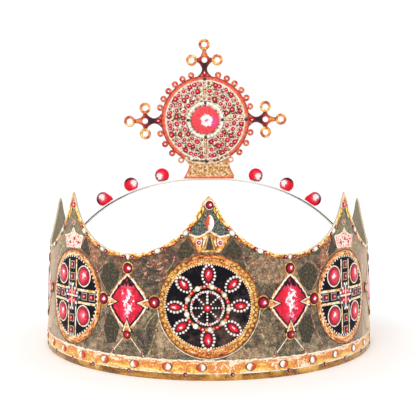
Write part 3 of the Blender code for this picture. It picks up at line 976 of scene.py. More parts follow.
wheels = new_print()
gold_lines = []
outlines = oval_outlines
wheel_beads = []
fine_beads = []
ring_beads = []
small_ring_beads = []
marquises = []
marquise_pearls = []
hub_rubies = []
hub_pearls = []
RING_STEPS = 96
for middle in WHEEL_PLACES:
    centre = (middle, WHEEL_MIDDLE)
    hub = (middle + HUB[0], WHEEL_MIDDLE + HUB[1])
    outer = circle(centre, RING_OUTER - 0.3, RING_STEPS)
    inside = (middle - 0.3, WHEEL_MIDDLE - 0.1)
    inner = circle(inside, RING_INNER[0], RING_STEPS, RING_INNER[1])
    warmths = [0.15 + 0.8 * abs(sin(tau * step / RING_STEPS)) ** 3 for step in range(RING_STEPS)]
    add_band(wheels, outer, inner, 0.15, across=(0.65, 0.4), warmth=warmths, closed=True)
    add_patch(wheels, inner, 0.08, ink=1)
    outlines.append((circle(centre, RING_OUTER - 0.2, RING_STEPS), 0.3, True))
    gold_lines.append((inner, 0.35, True))
    cream_arcs.append((arc(centre, RING_OUTER + 0.25, 185, 355, 60), 0.22, False))
    fine_beads.append((circle(inside, RING_INNER[0] - 0.45, 96, RING_INNER[1] - 0.45), 0.4, True))
    small_ring_beads.append((arc(centre, 20.7, 60, 120, 24), 0.7, False))
    small_ring_beads.append((arc(centre, 20.8, 234, 306, 24), 0.6, False))
    for start, end in ((122, 236), (-56, 58)):
        ring_beads.append((arc(centre, 21.6, start, end, 24), 1.1, False))
    for x, y, half_length, half_width in MARQUISES:
        turn = atan2(y - HUB[1], x - HUB[0])
        marquises.append((middle + x, WHEEL_MIDDLE + y, half_width, half_length, turn - pi / 2))
        ring = []
        for step in range(16):
            angle = tau * step / 16
            along = (half_length + 0.8) * cos(angle)
            beside = (half_width + 0.7) * sin(angle) * (1 - 0.15 * cos(angle) ** 2)
            ring.append((
                middle + x + along * cos(turn) - beside * sin(turn),
                WHEEL_MIDDLE + y + along * sin(turn) + beside * cos(turn),
            ))
        marquise_pearls.append((ring, 0.66, True))
    gold_lines.append((circle(hub, HUB_RING, 48), 0.6, True))
    wheel_beads.append((circle(hub, HUB_PEARLS, 48), 0.62, True))
    for step in range(9):
        angle = radians(97 + 40 * step)
        hub_rubies.append((*polar(hub, HUB_RING, angle), 1.05, 1.3, angle))
        angle += radians(20)
        hub_pearls.append((*polar(hub, HUB_RING, angle), 1.25, 1.25, angle))
        hub_rubies.append((*polar(hub, HUB_SMALL_RUBIES, angle), 0.55, 0.7, angle))
    for step in range(8):
        angle = radians(45 * step)
        spoke = [polar(hub, reach, angle) for reach in SPOKE_REACHES]
        wheel_beads.append((spoke, 0.7 if step == 2 else 0.48, False))
    hub_rubies.append((*hub, 1.8, 1.8, 0))
finish_print("wheel_roundels", wheels, [gold_ink, field_ink])
beads_at("wheel_bead_lines", wheel_beads, 1.12, pearl, seed=21)
beads_at("wheel_fine_beads", fine_beads, 1.15, cream_bead, seed=27)
beads_at("wheel_ring_beads", ring_beads, 2.35, gold_bead, lift=0.2, seed=22)
beads_at("wheel_small_ring_beads", small_ring_beads, 1.6, gold_bead, lift=0.2, seed=28)
beads_at("wheel_marquise_pearls", marquise_pearls, 1.6, pearl, seed=23)
stones_at("wheel_marquise_rubies", MARQUISE_BLANK, marquises, ruby, seed=24)
stones_at("wheel_hub_rubies", ROUND_BLANK, hub_rubies, ruby, lift=0.35, seed=25)
stones_at("wheel_hub_pearls", ROUND_BLANK, hub_pearls, pearl, lift=0.3, seed=26)

# Cross roundels, printed under the peaks between: a gold ring round a black field that is quartered by two
# gold-edged bars, with a round ruby in each quarter and a pearl lozenge over the crossing.
CROSS_MIDDLE = 32.8
CROSS_PLACES = (1.3 - PEAK_PITCH, PEAK_PITCH - 1.3)
BAR_MIDDLE = 0.65
BAR_REACH = 18.4
BAR_HALF_WIDTHS = (3.3, 3.05)
QUARTER_RUBIES = ((9.6, 10.6), (-9.6, 10.6), (9.6, -8.5), (-9.6, -8.5))
BAR_STONES = (
    (0, 15.7), (0, 9.9), (0, -10.5), (0, -16.5), (10.2, 0.9), (15.8, 0.9), (-10.0, 0.9), (-16, 0.9)
)
crosses = new_print()
bar_lines = []
pearl_lines = []
cross_beads = []
quarter_rubies = []
bar_frames = []
bar_panes = []
bar_rubies = []
lozenge_pearls = []
lozenge_blues = []
lobes = []
for middle in CROSS_PLACES:
    centre = (middle, CROSS_MIDDLE)
    outer = circle(centre, 22, RING_STEPS, 23.1)
    inner = circle((middle, CROSS_MIDDLE + 0.5), 19.4, RING_STEPS, 19.8)
    add_band(crosses, outer, inner, 0.15, across=(0.64, 0.32), warmth=0.66, closed=True)
    add_patch(crosses, inner, 0.08, ink=1)
    outlines.append((outer, 0.28, True))
    cross_beads.append((circle((middle, CROSS_MIDDLE + 0.5), 19, RING_STEPS, 19.4), 0.58, True))
    for side in (-1, 1):
        x = middle + side * BAR_HALF_WIDTHS[0]
        y = CROSS_MIDDLE + BAR_MIDDLE + side * BAR_HALF_WIDTHS[1]
        bar_lines.append(([(x, CROSS_MIDDLE - 18.1), (x, CROSS_MIDDLE + BAR_REACH)], 0.48, False))
        bar_lines.append(
            ([(middle + along, y) for along in np.linspace(-BAR_REACH, BAR_REACH, 16)], 0.6, False)
        )
    for x, y in QUARTER_RUBIES:
        pearl_lines.append((circle((middle + x, CROSS_MIDDLE + y), 4.95, 28), 0.3, True))
        quarter_rubies.append((middle + x, CROSS_MIDDLE + y, 4.4, 4.4, 0))
    for x, y in BAR_STONES:
        wide, tall = (2.1, 1.8) if x else (1.9, 1.9)
        for rows, trim in ((bar_frames, 0), (bar_panes, 0.32), (bar_rubies, 0.55)):
            rows.append((middle + x, CROSS_MIDDLE + y, wide - trim, tall - trim, 0))
    heart = (middle, CROSS_MIDDLE + 0.2)
    for across_four, up_four in ((1, 1), (-1, 1), (-1, -1), (1, -1)):
        lobes.append((heart[0] + 2.0 * across_four, heart[1] + 2.1 * up_four, 1.9, 1.95, 0))
        for step in range(8):
            share = step / 7
            stone = (
                heart[0] + 6.6 * (1 - share) * across_four, heart[1] + 6.9 * share * up_four, 0.8, 0.8, 0
            )
            blue = step % 2 if up_four > 0 else step % 3
            (lozenge_blues if blue else lozenge_pearls).append(stone)
    pearl_lines.append(([(heart[0] + along, heart[1] + 0.4) for along in (-5.2, 0, 5.2)], 0.5, False))
    pearl_lines.append(([(heart[0], heart[1] + along) for along in (-5.4, 5.4)], 0.5, False))
pale_gold_ink = line_print(
    "pale gold line print", [(0.3, "#c07c3a"), (0.42, "#eeb464"), (0.5, "#fbe2ac"), (0.6, "#fffaf0")]
)
jet = pearl_print("jet print", "#3a3c4a", "#15161f", "#0b0b10")
blue_stone = pearl_print("dark blue stone print", "#4c5280", "#24284e", "#14162c")
finish_print("cross_roundels", crosses, [gold_ink, field_ink])
lines_at("cross_bars", bar_lines, pale_gold_ink, lift=0.12, flatness=0.25)
beads_at("cross_bead_lines", cross_beads, 2.05, pearl, seed=31)
stones_at("cross_quarter_rubies", ROUND_BLANK, quarter_rubies, pink_ruby, seed=32)
stones_at("cross_bar_frames", SQUARE_BLANK, bar_frames, pearl, proud=0.1, seed=33)
stones_at("cross_bar_panes", SQUARE_BLANK, bar_panes, jet, lift=0.25, proud=0.1, seed=38)
stones_at("cross_bar_rubies", ROUND_BLANK, bar_rubies, ruby, lift=0.35, proud=0.2, seed=34)
stones_at("cross_lobes", SQUARE_BLANK, lobes, ruby, lift=0.25, proud=0.1, seed=35)
lines_at("cross_pearl_lines", pearl_lines, cream_ink, lift=0.25)
stones_at("cross_lozenge_pearls", SQUARE_BLANK, lozenge_pearls, pearl, lift=0.3, seed=36)
stones_at("cross_lozenge_blues", SQUARE_BLANK, lozenge_blues, blue_stone, lift=0.3, seed=37)

# Lozenge rubies, printed in the troughs: a large faceted red stone in a gold frame with a cream inner line,
# gold darts at three of its corners, and a round ruby beyond each corner.
LOZENGE_MIDDLE = 33.3
LOZENGE_HALF = (10.2, 12.4)
LOZENGE_PLACES = [(trough - 0.5) * PEAK_PITCH for trough in range(-1, 3)]
DARTS = (
    ((10.6, 1.9), (5.5, 0.1), (10.6, -1.9)), ((-10.6, 1.9), (-5.5, 0.1), (-10.6, -1.9)),
    ((-1.9, -13), (0, -8), (1.9, -13)),
)
TOP_JAGS = ((-2.8, 8.0), (-1.4, 10.0), (-0.5, 8.2), (0.6, 10.6), (1.3, 8.4), (2.8, 8.2))
CORNER_RUBIES = ((0, 15.7, 2.5), (0, -14.5, 2.1), (13.7, 0.8, 2.75), (-13.7, 0.8, 2.75))
lozenges = new_print()
jagged_lines = []
dart_lines = []
dark_jags = []
corner_rubies = []
lozenge_rubies = []
random = np.random.default_rng(5)


def rhombus(half_width, half_height, steps, wobble=0):
    """A rhombus from its right corner, with this many points on each side. They swell and wander a little."""
    corners = [(half_width, 0), (0, half_height), (-half_width, 0), (0, -half_height), (half_width, 0)]
    outline = []
    for (x0, y0), (x1, y1) in zip(corners, corners[1:]):
        for step in range(steps):
            reach = (1 + 0.09 * sin(pi * step / steps)) * (1 + random.uniform(-wobble, wobble))
            outline.append(
                (reach * (x0 + (x1 - x0) * step / steps), reach * (y0 + (y1 - y0) * step / steps))
            )
    return outline


def swelled(points, reach):
    """Points moved this far away from their middle."""
    across = sum(x for x, y in points) / len(points)
    up = sum(y for x, y in points) / len(points)
    away = [(x - across, y - up) for x, y in points]
    return [(across + x * (1 + reach / hypot(x, y)), up + y * (1 + reach / hypot(x, y))) for x, y in away]


for middle in LOZENGE_PLACES:
    inner = moved(rhombus(*LOZENGE_HALF, 8), middle, LOZENGE_MIDDLE)
    outer = moved(rhombus(LOZENGE_HALF[0] + 1.5, LOZENGE_HALF[1] + 1.8, 8), middle, LOZENGE_MIDDLE)
    add_band(lozenges, outer, inner, 0.15, across=(0.7, 0.15), warmth=0.5, closed=True)
    jagged = rhombus(LOZENGE_HALF[0] + 0.3, LOZENGE_HALF[1] + 0.3, 14, 0.022)
    jagged_lines.append((moved(jagged, middle, LOZENGE_MIDDLE), 0.5, True))
    jagged = rhombus(LOZENGE_HALF[0] - 0.4, LOZENGE_HALF[1] - 0.5, 14, 0.04)
    dark_jags.append((moved(jagged, middle, LOZENGE_MIDDLE), 0.42, True))
    dark_jags.append((moved(TOP_JAGS, middle, LOZENGE_MIDDLE), 1.0, False))
    for dart in DARTS:
        add_patch(lozenges, moved(dart, middle, LOZENGE_MIDDLE), 0.5, across=0.45, warmth=0.8)
        dart_lines.append((moved(dart, middle, LOZENGE_MIDDLE), 0.36, False))
        dark_jags.append((moved(swelled(dart, 0.95), middle, LOZENGE_MIDDLE), 0.5, False))
    lozenge_rubies.append((middle, LOZENGE_MIDDLE, *LOZENGE_HALF, 0))
    for x, y, radius in CORNER_RUBIES:
        corner_rubies.append((middle + x, LOZENGE_MIDDLE + y, radius, radius, 0))
        gold_lines.append((circle((middle + x, LOZENGE_MIDDLE + y), radius + 0.2, 24), 0.26, True))
finish_print("lozenge_frames", lozenges, [gold_ink])
lines_at("lozenge_lines", jagged_lines, cream_ink, lift=0.24)
black_ink = line_print(
    "ragged black print", [(0.35, "#12070d"), (0.55, "#2a0a14"), (0.66, "#7c1226"), (0.75, "#c41c38")]
)
lines_at("lozenge_dark_jags", dark_jags, black_ink, lift=0.36, flatness=0.3)
lines_at("lozenge_dart_lines", dart_lines, cream_ink, lift=0.5)
stones_at("lozenge_corner_rubies", ROUND_BLANK, corner_rubies, dark_ruby, lift=0.3, seed=41)

# The lozenge stone itself: crimson with a ragged column of white down its middle in a pink haze, dark along
# its edges and black in its top corner. Its pattern's scale is in halves of the stone.
lozenge_ink, tree, shader = new_material(
    "crimson stone print, varnished", Roughness=0.35, Coat_Weight=0.3, Coat_Roughness=0.12, Coat_IOR=1.3,
    IOR=1.3,
)
rim = add_node(tree, "ShaderNodeAttribute", attribute_name="rim").outputs["Fac"]
spot = add_node(tree, "ShaderNodeAttribute", attribute_name="spot").outputs["Vector"]
tone = add_node(tree, "ShaderNodeAttribute", attribute_name="tone").outputs["Fac"]
patch = add_node(tree, "ShaderNodeVectorMath", {0: tone, 1: (9, 5, 3), 2: spot}, operation="MULTIPLY_ADD")
ragged = add_node(tree, "ShaderNodeTexNoise", {"Vector": patch, "Scale": 4.2, "Detail": 4, "Roughness": 0.7})
drift = add_node(
    tree, "ShaderNodeVectorMath", {0: ragged.outputs["Color"], 1: (0.5, 0.5, 0.5)}, operation="SUBTRACT"
)
wander = add_node(
    tree, "ShaderNodeVectorMath", {0: drift, 1: (1.5, 0.9, 0), 2: spot}, operation="MULTIPLY_ADD"
)
column = add_node(tree, "ShaderNodeVectorMath", {0: wander, 1: (1, 0.28, 0)}, operation="MULTIPLY")
reach = add_node(tree, "ShaderNodeVectorMath", {0: column, 1: (0.03, 0.01, 0)}, operation="DISTANCE")
reds = add_node(
    tree, "ShaderNodeValToRGB", {"Fac": ragged},
    stops=[(0.3, "#f4284c"), (0.46, "#e80c34"), (0.58, "#c40a2a"), (0.7, "#760a1c")],
)
edge_share = add_node(tree, "ShaderNodeMath", {0: ragged, 1: 0.5, 2: rim}, operation="MULTIPLY_ADD")
edge_share = add_node(tree, "ShaderNodeMapRange", {"Value": edge_share, "From Min": 1.1, "From Max": 1.2})
edged = add_node(tree, "ShaderNodeMix", {0: edge_share, 6: reds, 7: linear("#2c0a12")}, data_type="RGBA")
height = add_node(tree, "ShaderNodeSeparateXYZ", {"Vector": wander})
top_share = add_node(
    tree, "ShaderNodeMapRange", {"Value": height.outputs["Y"], "From Min": 0.74, "From Max": 0.82}
)
topped = add_node(
    tree, "ShaderNodeMix", {0: top_share, 6: edged.outputs[2], 7: linear("#240a12")}, data_type="RGBA"
)
haze_share = add_node(
    tree, "ShaderNodeMapRange",
    {"Value": reach.outputs["Value"], "From Min": 0.3, "From Max": 0.15, "To Max": 0.65},
)
hazed = add_node(
    tree, "ShaderNodeMix", {0: haze_share, 6: topped.outputs[2], 7: linear("#f26a8c")}, data_type="RGBA"
)
glint_share = add_node(
    tree, "ShaderNodeMapRange", {"Value": reach.outputs["Value"], "From Min": 0.15, "From Max": 0.12}
)
glinting = add_node(
    tree, "ShaderNodeMix", {0: glint_share, 6: hazed.outputs[2], 7: linear("#fffafb")}, data_type="RGBA"
)
tree.links.new(glinting.outputs[2], shader.inputs["Base Color"])
LOZENGE_BLANK = stone_blank("lozenge blank", 24, (0.25, 0.5, 0.75, 0.9, 1), "lozenge")
stones_at("lozenge_stones", LOZENGE_BLANK, lozenge_rubies, lozenge_ink, lift=0.1, proud=0.2, seed=42)

# Peak tips: a ruby in a cream ring at the top, yellow strokes on the border beside it, two grey-blue enamel
# panes with a pale drop between them, and a cream swag with gold triangles below it. The peaks between have a
# khaki pane and white filigree.
WHEEL_PANE = (
    (0, 76.8), (3.3, 72.3), (8.0, 67.2), (8.6, 65.0), (6.0, 64.1), (3.2, 65.0), (1.5, 65.8), (1.7, 69.5),
    (0.9, 73.4),
)
SWAG = ((9.3, 64.8), (7.0, 64.0), (4.7, 63.7), (2.4, 64.8), (0.8, 65.9), (0, 66.4))
TRIANGLE = ((9.2, 64.0), (4.8, 63.1), (0.6, 65.2), (3.5, 57.2), (5.2, 57.0))
DARK_FACET = ((10.6, 62.6), (6.6, 57.4), (8.8, 55.0), (13.2, 53.4), (15.2, 56.4), (13.0, 60.2))
CROSS_PANE = ((0, 76.4), (2.0, 72), (4.2, 68.6), (7.6, 65.2), (8.2, 63.4), (5, 62.8), (0, 66.2))
MOSS_FACET = ((-17, 57.5), (-12.5, 60.5), (-9.5, 57.0), (-12.5, 53.6), (-18, 51.5))
FILIGREE = ((0, 66.2), (1.5, 64.2), (4.4, 63.0), (8.4, 62.6), (6.4, 56.6), (0, 56.8))
WHOLE_FILIGREE = FILIGREE[1:] + tuple((-x, y) for x, y in FILIGREE[4:0:-1]) + FILIGREE[:1]
YELLOW_STROKES = (
    ((2.2, 77.6), (3.2, 76.4), (3.0, 73.6), (1.9, 75.8)),
    ((3.7, 75.2), (5.0, 72.6), (4.6, 71.2), (3.3, 73.2)),
)
tips = new_print()
tip_lines = []
tip_outlines = []
tip_rings = []
tip_rubies = []
tip_drops = []
tip_small = []
for middle in WHEEL_PLACES:
    middle += 0.3
    for side in (-1, 1):
        add_patch(tips, moved(WHEEL_PANE, middle, 0, side), 0.12, ink=1)
        add_patch(tips, moved(TRIANGLE, middle, 0, side), 0.12, across=0.45, warmth=0.5)
        add_patch(tips, moved(DARK_FACET, middle, 0, side), 0.03, ink=2)
        tip_lines.append((moved(SWAG, middle, 0, side), 0.45, False))
        gold_lines.append((moved([(0.5, 65.0), (1.4, 61), (2.4, 57.4)], middle, 0, side), 0.26, False))
        gold_lines.append((moved([(8.0, 63.6), (7.2, 62.0), (7.6, 60.8)], middle, 0, side), 0.25, False))
        tip_outlines.append((moved([(3.2, 63.2), (3.0, 62.2), (3.6, 59.2)], middle, 0, side), 0.2, False))
        tip_outlines.append((moved([(9.4, 63.2), (7.4, 60), (5.4, 57)], middle, 0, side), 0.3, False))
        tip_small.append((middle + side * 4.9, 61.1, 1.05, 1.0, 0))
        tip_rings.append((circle((middle + side * 4.9, 61.1), 1.15, 12), 0.2, True))
    add_patch(tips, moved(((-1.7, 57.8), (1.9, 57.8), (0.1, 64.4)), middle), 0.12, ink=2)
    gold_lines.append((moved([(-4.4, 57.2), (0, 57.5), (4.4, 57.2)], middle), 0.42, False))
    tip_rubies.append((middle, 77.9, 1.9, 1.9, 0))
    tip_rings.append((circle((middle, 77.9), 2.0, 20), 0.13, True))
    tip_drops.append((middle + 0.2, 69.9, 2.3, 3.6, 0))
for middle in CROSS_PLACES:
    front = -1 if middle > 0 else 1
    for side in (-1, 1):
        add_patch(tips, moved(CROSS_PANE, middle, 0, side), 0.12, ink=4)
        tip_lines.append(
            (moved([(0, 66.6), (1.6, 64.4), (4.6, 63.2), (8.6, 62.8)], middle, 0, side), 0.4, False)
        )
        tip_lines.append((moved([(8.6, 62.8), (7.2, 59.6), (6.4, 56.8)], middle, 0, side), 0.3, False))
    add_patch(tips, moved(DARK_FACET, middle, 0, front), 0.03, ink=2)
    add_patch(tips, moved(MOSS_FACET, middle, 0, front), 0.03, ink=5)
    add_patch(tips, moved(WHOLE_FILIGREE, middle), 0.1, ink=3)
    tip_small.append((middle, 78.0, 1.6, 1.6, 0))
    tip_rings.append((circle((middle, 78.0), 1.7, 20), 0.15, True))
    tip_small.append((middle, 69.3, 1.0, 1.15, 0))
    tip_rings.append((circle((middle, 69.3), 1.15, 12), 0.18, True))
    for x, y in ((-3.2, 59.6), (0.6, 61.3), (4.2, 59.6)):
        tip_small.append((middle + x, y, 0.85, 0.75, 0))
for middle in WHEEL_PLACES + CROSS_PLACES:
    for side in (-1, 1):
        for stroke in YELLOW_STROKES:
            add_patch(tips, moved(stroke, middle, 0, side), 0.25, ink=6)
            if middle in WHEEL_PLACES:
                tip_outlines.append((moved(stroke + stroke[:1], middle, 0, side), 0.16, False))
pane_ink = line_print(
    "grey-blue enamel print", [(0.3, "#2b2d29"), (0.46, "#4a4e46"), (0.58, "#6f7468"), (0.7, "#abb0a0")], 0.9
)
facet_ink = line_print("dark olive print", [(0.3, "#2a251e"), (0.5, "#443c2f"), (0.7, "#696047")], 1)
filigree_ink = line_print(
    "filigree print",
    [
        (0.35, "#e4562a"), (0.42, "#f4b080"), (0.47, "#fffaf4"), (0.54, "#fce4d8"), (0.59, "#f09a90"),
        (0.64, "#d8404c"),
    ],
    1.4,
)
khaki_ink = line_print("khaki print", [(0.3, "#5e543c"), (0.5, "#837757"), (0.7, "#b3a680")], 1)
moss_ink = line_print("moss print", [(0.3, "#756c4a"), (0.5, "#958c66"), (0.7, "#bcb28c")])
yellow_ink = line_print(
    "yellow stroke print", [(0.3, "#d8961e"), (0.43, "#f2cc34"), (0.58, "#fdf08c"), (0.7, "#fffbe0")]
)
finish_print(
    "peak_tips", tips, [gold_ink, pane_ink, facet_ink, filigree_ink, khaki_ink, moss_ink, yellow_ink]
)
lines_at("peak_tip_lines", tip_lines, cream_ink, lift=0.2)
lines_at("peak_tip_outlines", tip_outlines, outline_ink, lift=0.26)
lines_at("peak_tip_rings", tip_rings, pearl, lift=0.2)
stones_at("peak_tip_rubies", ROUND_BLANK, tip_rubies, dark_ruby, lift=0.2, seed=51)
stones_at("peak_tip_drops", MARQUISE_BLANK, tip_drops, oval_ink, lift=0.2, seed=52)
stones_at("peak_tip_small_rubies", ROUND_BLANK, tip_small, pink_ruby, lift=0.25, seed=53)
lines_at("gold_lines", gold_lines, gold_line_ink, lift=0.16)
lines_at("dark_outlines", outlines, outline_ink, lift=0.14)

# Veins and facets: thin cream and orange-brown lines cross the ground between the roundels, with faded pink
# dots where they meet. Short orange-pink strokes lie scattered in the upper ground, and dark facets beside
# the cross roundels.
faint_veins = []
warm_veins = []
vein_stones = []
LOWER_FACET = ((24.4, 27.8), (30.2, 26.2), (33.2, 21.6), (31.0, 14.4), (26.4, 13.6), (24.0, 19.4))
UPPER_FACET = (
    (21.2, 44.2), (23.4, 49.8), (27.4, 51.4), (33.0, 47.2), (31.4, 41.8), (27.0, 37.6), (23.0, 38.8)
)
facets_print = new_print()
random = np.random.default_rng(9)


def scattered(middle, side, left, right, low, high, count):
    """Short curved strokes over a patch of the ground, most of them rising away from the roundel."""
    for _ in range(count):
        x = random.uniform(left, right)
        y = random.uniform(low, high)
        run = random.uniform(0.5, 1.6)
        rise = random.uniform(-1.8, 0.6)
        stroke = [(x, y), (x + run / 2, y + rise * 0.7), (x + run, y + rise)]
        warm_veins.append((moved(stroke, middle, 0, side), random.uniform(0.14, 0.34), False))


for middle in LOZENGE_PLACES:
    for side in (-1, 1):
        cream_arcs.append(
            (moved([(1.6, 17.6), (4.2, 14.6), (7.6, 10.6), (8.8, 9.2)], middle, 0, side), 0.22, False)
        )
        vein_stones.append((middle + side * 8.0, 10.8, 0.9, 0.8, 0))
for middle in CROSS_PLACES:
    front = -1 if middle > 0 else 1
    for line in (
        [(11.6, 61.6), (13.4, 57), (15.2, 53.2), (17.6, 50.2), (19.4, 46.8)],
        [(12.6, 59.5), (15.4, 57.2), (18.5, 55.6)],
        [(13.5, 56), (15.0, 55.2), (16.4, 52.4), (18.8, 51.4)],
        [(19.4, 46.4), (21.6, 42.4), (24.6, 38.4)],
        [(24.4, 29.6), (25.2, 26.0), (23.4, 20.4), (20.2, 15), (17.2, 9.8)],
        [(19.4, 46.4), (22.0, 49.0), (25.6, 52.2)],
    ):
        warm_veins.append((moved(line, middle, 0, front), 0.24, False))
    scattered(middle, front, 12.5, 19.5, 48, 59, 26)
    vein_stones.append((middle + front * 19.2, 46.5, 1.0, 0.9, 0))
    vein_stones.append((middle - front * 19.2, 46.5, 1.0, 0.9, 0))
    add_patch(facets_print, moved(LOWER_FACET, middle, 0, front), 0.02)
    add_patch(facets_print, moved(UPPER_FACET, middle, 0, front), 0.02)
    faint_veins.append((moved([(-20.6, 20.5), (-24.5, 17), (-28.0, 10)], middle, 0, front), 0.3, False))
for middle in WHEEL_PLACES:
    for side in (-1, 1):
        faint_veins.append(
            (moved([(19.6, 44), (19.2, 48), (16.6, 51.6), (15.6, 54.2)], middle, 0, side), 0.3, False)
        )
        faint_veins.append(
            (moved([(22.6, 27.5), (24.0, 21.7), (26.2, 15), (28, 9.4)], middle, 0, side), 0.4, False)
        )
        faint_veins.append((moved([(15.2, 15.6), (16.6, 12), (18.2, 9.4)], middle, 0, side), 0.4, False))
        faint_veins.append((moved([(24.0, 29.5), (27.4, 26), (29.6, 21.6)], middle, 0, side), 0.3, False))
        scattered(middle, side, 17, 31, 43.5, 54, 44)
        vein_stones.append((middle + side * 15.7, 54.5, 1.0, 0.8, 0))
        vein_stones.append((middle + side * 24.2, 21.6, 1.0, 0.9, 0))
        vein_stones.append((middle + side * 16.4, 11.8, 0.9, 0.8, 0))
        vein_stones.append((middle + side * 20.6, 45.2, 0.9, 0.9, 0))
faint_ink = line_print("faint vein print", [(0.35, "#645a3e"), (0.5, "#8d8258"), (0.65, "#c6bd8c")])
warm_ink = line_print("orange-brown vein print", [(0.3, "#84503a"), (0.5, "#b87654"), (0.65, "#e8b49a")])
faded_ruby = ruby_print("faded pink dot print", "#b8686a", "#9c5252", "#75493e", "#d09490", 0.2)
finish_print("ground_facets", facets_print, [facet_ink])
lines_at("faint_veins", faint_veins, faint_ink, lift=0.02, flatness=0.3)
lines_at("warm_veins", warm_veins, warm_ink, lift=0.03, flatness=0.3)
lines_at("cream_veins", cream_arcs, cream_ink, lift=0.04, flatness=0.3)
stones_at("vein_stones", ROUND_BLANK, vein_stones, faded_ruby, lift=0.05, proud=0.15, seed=61)

# The arch strip is a narrow strip of white board, slotted under the finial. Its faces are bare white. Its two
# long edges are coloured with painted shade by their distance from the middle: near-black where they rise
# from the band, fading to near-white higher up, and pale gold under the finial.
strip_card, tree, shader = new_material("thin board strip, edge with painted shade", Roughness=0.6)
where = add_node(tree, "ShaderNodeTexCoord").outputs["Object"]
across_crown = add_node(tree, "ShaderNodeSeparateXYZ", {"Vector": where})
reach = add_node(tree, "ShaderNodeMath", {0: across_crown.outputs["X"]}, operation="ABSOLUTE")
share = add_node(tree, "ShaderNodeMapRange", {"Value": reach, "From Max": 90 * MM})
fibres = add_node(tree, "ShaderNodeTexNoise", {"Vector": where, "Scale": 1 / (2 * MM), "Detail": 3})
uneven = add_node(tree, "ShaderNodeMath", {0: fibres, 1: 0.06, 2: share}, operation="MULTIPLY_ADD")
# Painted shade on the edges: near-black towards the strip's ends, then near-white and pale gold towards its
# middle.
tints = add_node(
    tree, "ShaderNodeValToRGB", {"Fac": uneven},
    stops=[
        (0.15, "#f3dc9a"), (0.3, "#f8f2e4"), (0.42, "#efe6e2"), (0.54, "#c8a8a8"), (0.62, "#3a3434"),
        (0.68, "#141212"), (0.9, "#100e0e"),
    ],
)
facing = add_node(tree, "ShaderNodeNewGeometry").outputs["Normal"]
facing_y = add_node(tree, "ShaderNodeSeparateXYZ", {"Vector": facing}).outputs["Y"]
sideways = add_node(tree, "ShaderNodeMath", {0: facing_y}, operation="ABSOLUTE")
on_edge = add_node(tree, "ShaderNodeMath", {0: sideways, 1: 0.5}, operation="GREATER_THAN")
whites = add_node(tree, "ShaderNodeValToRGB", {"Fac": fibres}, stops=[(0.3, "#f2efe9"), (0.7, "#fbf9f5")])
strip_tint_with_painted_shade = add_node(tree, "ShaderNodeMix", {0: on_edge, 6: whites, 7: tints}, data_type="RGBA")
tree.links.new(strip_tint_with_painted_shade.outputs[2], shader.inputs["Base Color"])
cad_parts["arch_strip"].data.materials.clear()
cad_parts["arch_strip"].data.materials.append(strip_card)

# The gem tabs are small die-cut pieces of the same card that stand on the strip. Each carries a printed
# red stone on its front, with a dark rim and a ragged white glint, and is white board behind.
tab_card, tree, shader = new_material("white board tab", Roughness=0.6)
where = add_node(tree, "ShaderNodeTexCoord").outputs["Object"]
fibres = add_node(tree, "ShaderNodeTexNoise", {"Vector": where, "Scale": 1 / (1.2 * MM), "Detail": 3})
tint = add_node(tree, "ShaderNodeValToRGB", {"Fac": fibres}, stops=[(0.3, "#e6dfd6"), (0.7, "#f4efe8")])
tree.links.new(tint.outputs[0], shader.inputs["Base Color"])
GEM_NODES = [f"arch_gem_{side}_{number}" for side in ("left", "right") for number in (1, 2, 3)]
for node in GEM_NODES:
    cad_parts[node].data.materials.clear()
    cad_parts[node].data.materials.append(tab_card)

ARCH_TOP = 93.8
ARCH_FLAT_HALF = 6.7
ARCH_SPRING_HEIGHT = 25
ARCH_RISE = ARCH_TOP - ARCH_SPRING_HEIGHT
ARCH_CURVE_REACH = RING_RADIUS - WALL_LEAN * ARCH_SPRING_HEIGHT - CARD - GLUE_GAP - ARCH_FLAT_HALF
GEM_RADIUS = 4.3
GEM_STAND = 4.4
GEM_BASE_DROP = 3.5
GEM_REACHES = (62.05, 46.0, 27.8)
HEEL_REACH = 4.9
HEEL_HEIGHT = 2.0
HEEL_TANGENT = 48
GEM_GLINTS = ((0.0, 0.3), (0.5, 0.02), (-0.32, -0.1))
GEM_DARK_SIDES = (radians(135), radians(60), radians(215))
GEM_RELIEF = 0.5


def upright(points):
    """Stands flat work up in the finial's plane, on the front of its card, in metres."""
    return np.stack([points[:, 0], -(CARD / 2 + points[:, 2]), points[:, 1]], axis=1) * MM


def gem_outline(heeled):
    """The left side's round gem with a flat base, or with a blunt heel on its uphill side."""
    corner = np.degrees(acos(GEM_BASE_DROP / GEM_RADIUS))
    if heeled:
        heel = [(HEEL_REACH, -GEM_BASE_DROP), (HEEL_REACH, HEEL_HEIGHT - GEM_BASE_DROP)]
        return heel + arc((0, 0), GEM_RADIUS, HEEL_TANGENT, 270 - corner, 32)
    return arc((0, 0), GEM_RADIUS, corner - 90, 270 - corner, 36)


def add_gem(gems, outline, middle, tilt, flip, glint, dark_side):
    """A low domed gem in rings from its middle out. Its "rim" is full on its dark side only."""
    rim = gems.verts.layers.float["rim"]
    spot = gems.verts.layers.float_vector["spot"]
    inner = None
    for reach in (0, 0.35, 0.65, 0.85, 0.95, 1):
        ring = []
        for x, y in outline:
            x *= reach
            y *= reach
            across = flip * (x * cos(tilt) - y * sin(tilt))
            up = x * sin(tilt) + y * cos(tilt)
            vertex = gems.verts.new(
                (middle[0] + across, middle[1] + up, 0.05 + GEM_RELIEF * (1 - reach ** 4))
            )
            vertex[rim] = min(1, reach * (0.72 + 0.36 * cos(atan2(y, x) - dark_side)))
            vertex[spot] = (x / GEM_RADIUS - glint[0], y / GEM_RADIUS - glint[1], 0)
            ring.append(vertex)
        if inner:
            for start in range(len(outline)):
                end = (start + 1) % len(outline)
                gems.faces.new((inner[start], ring[start], ring[end], inner[end]))
        inner = ring


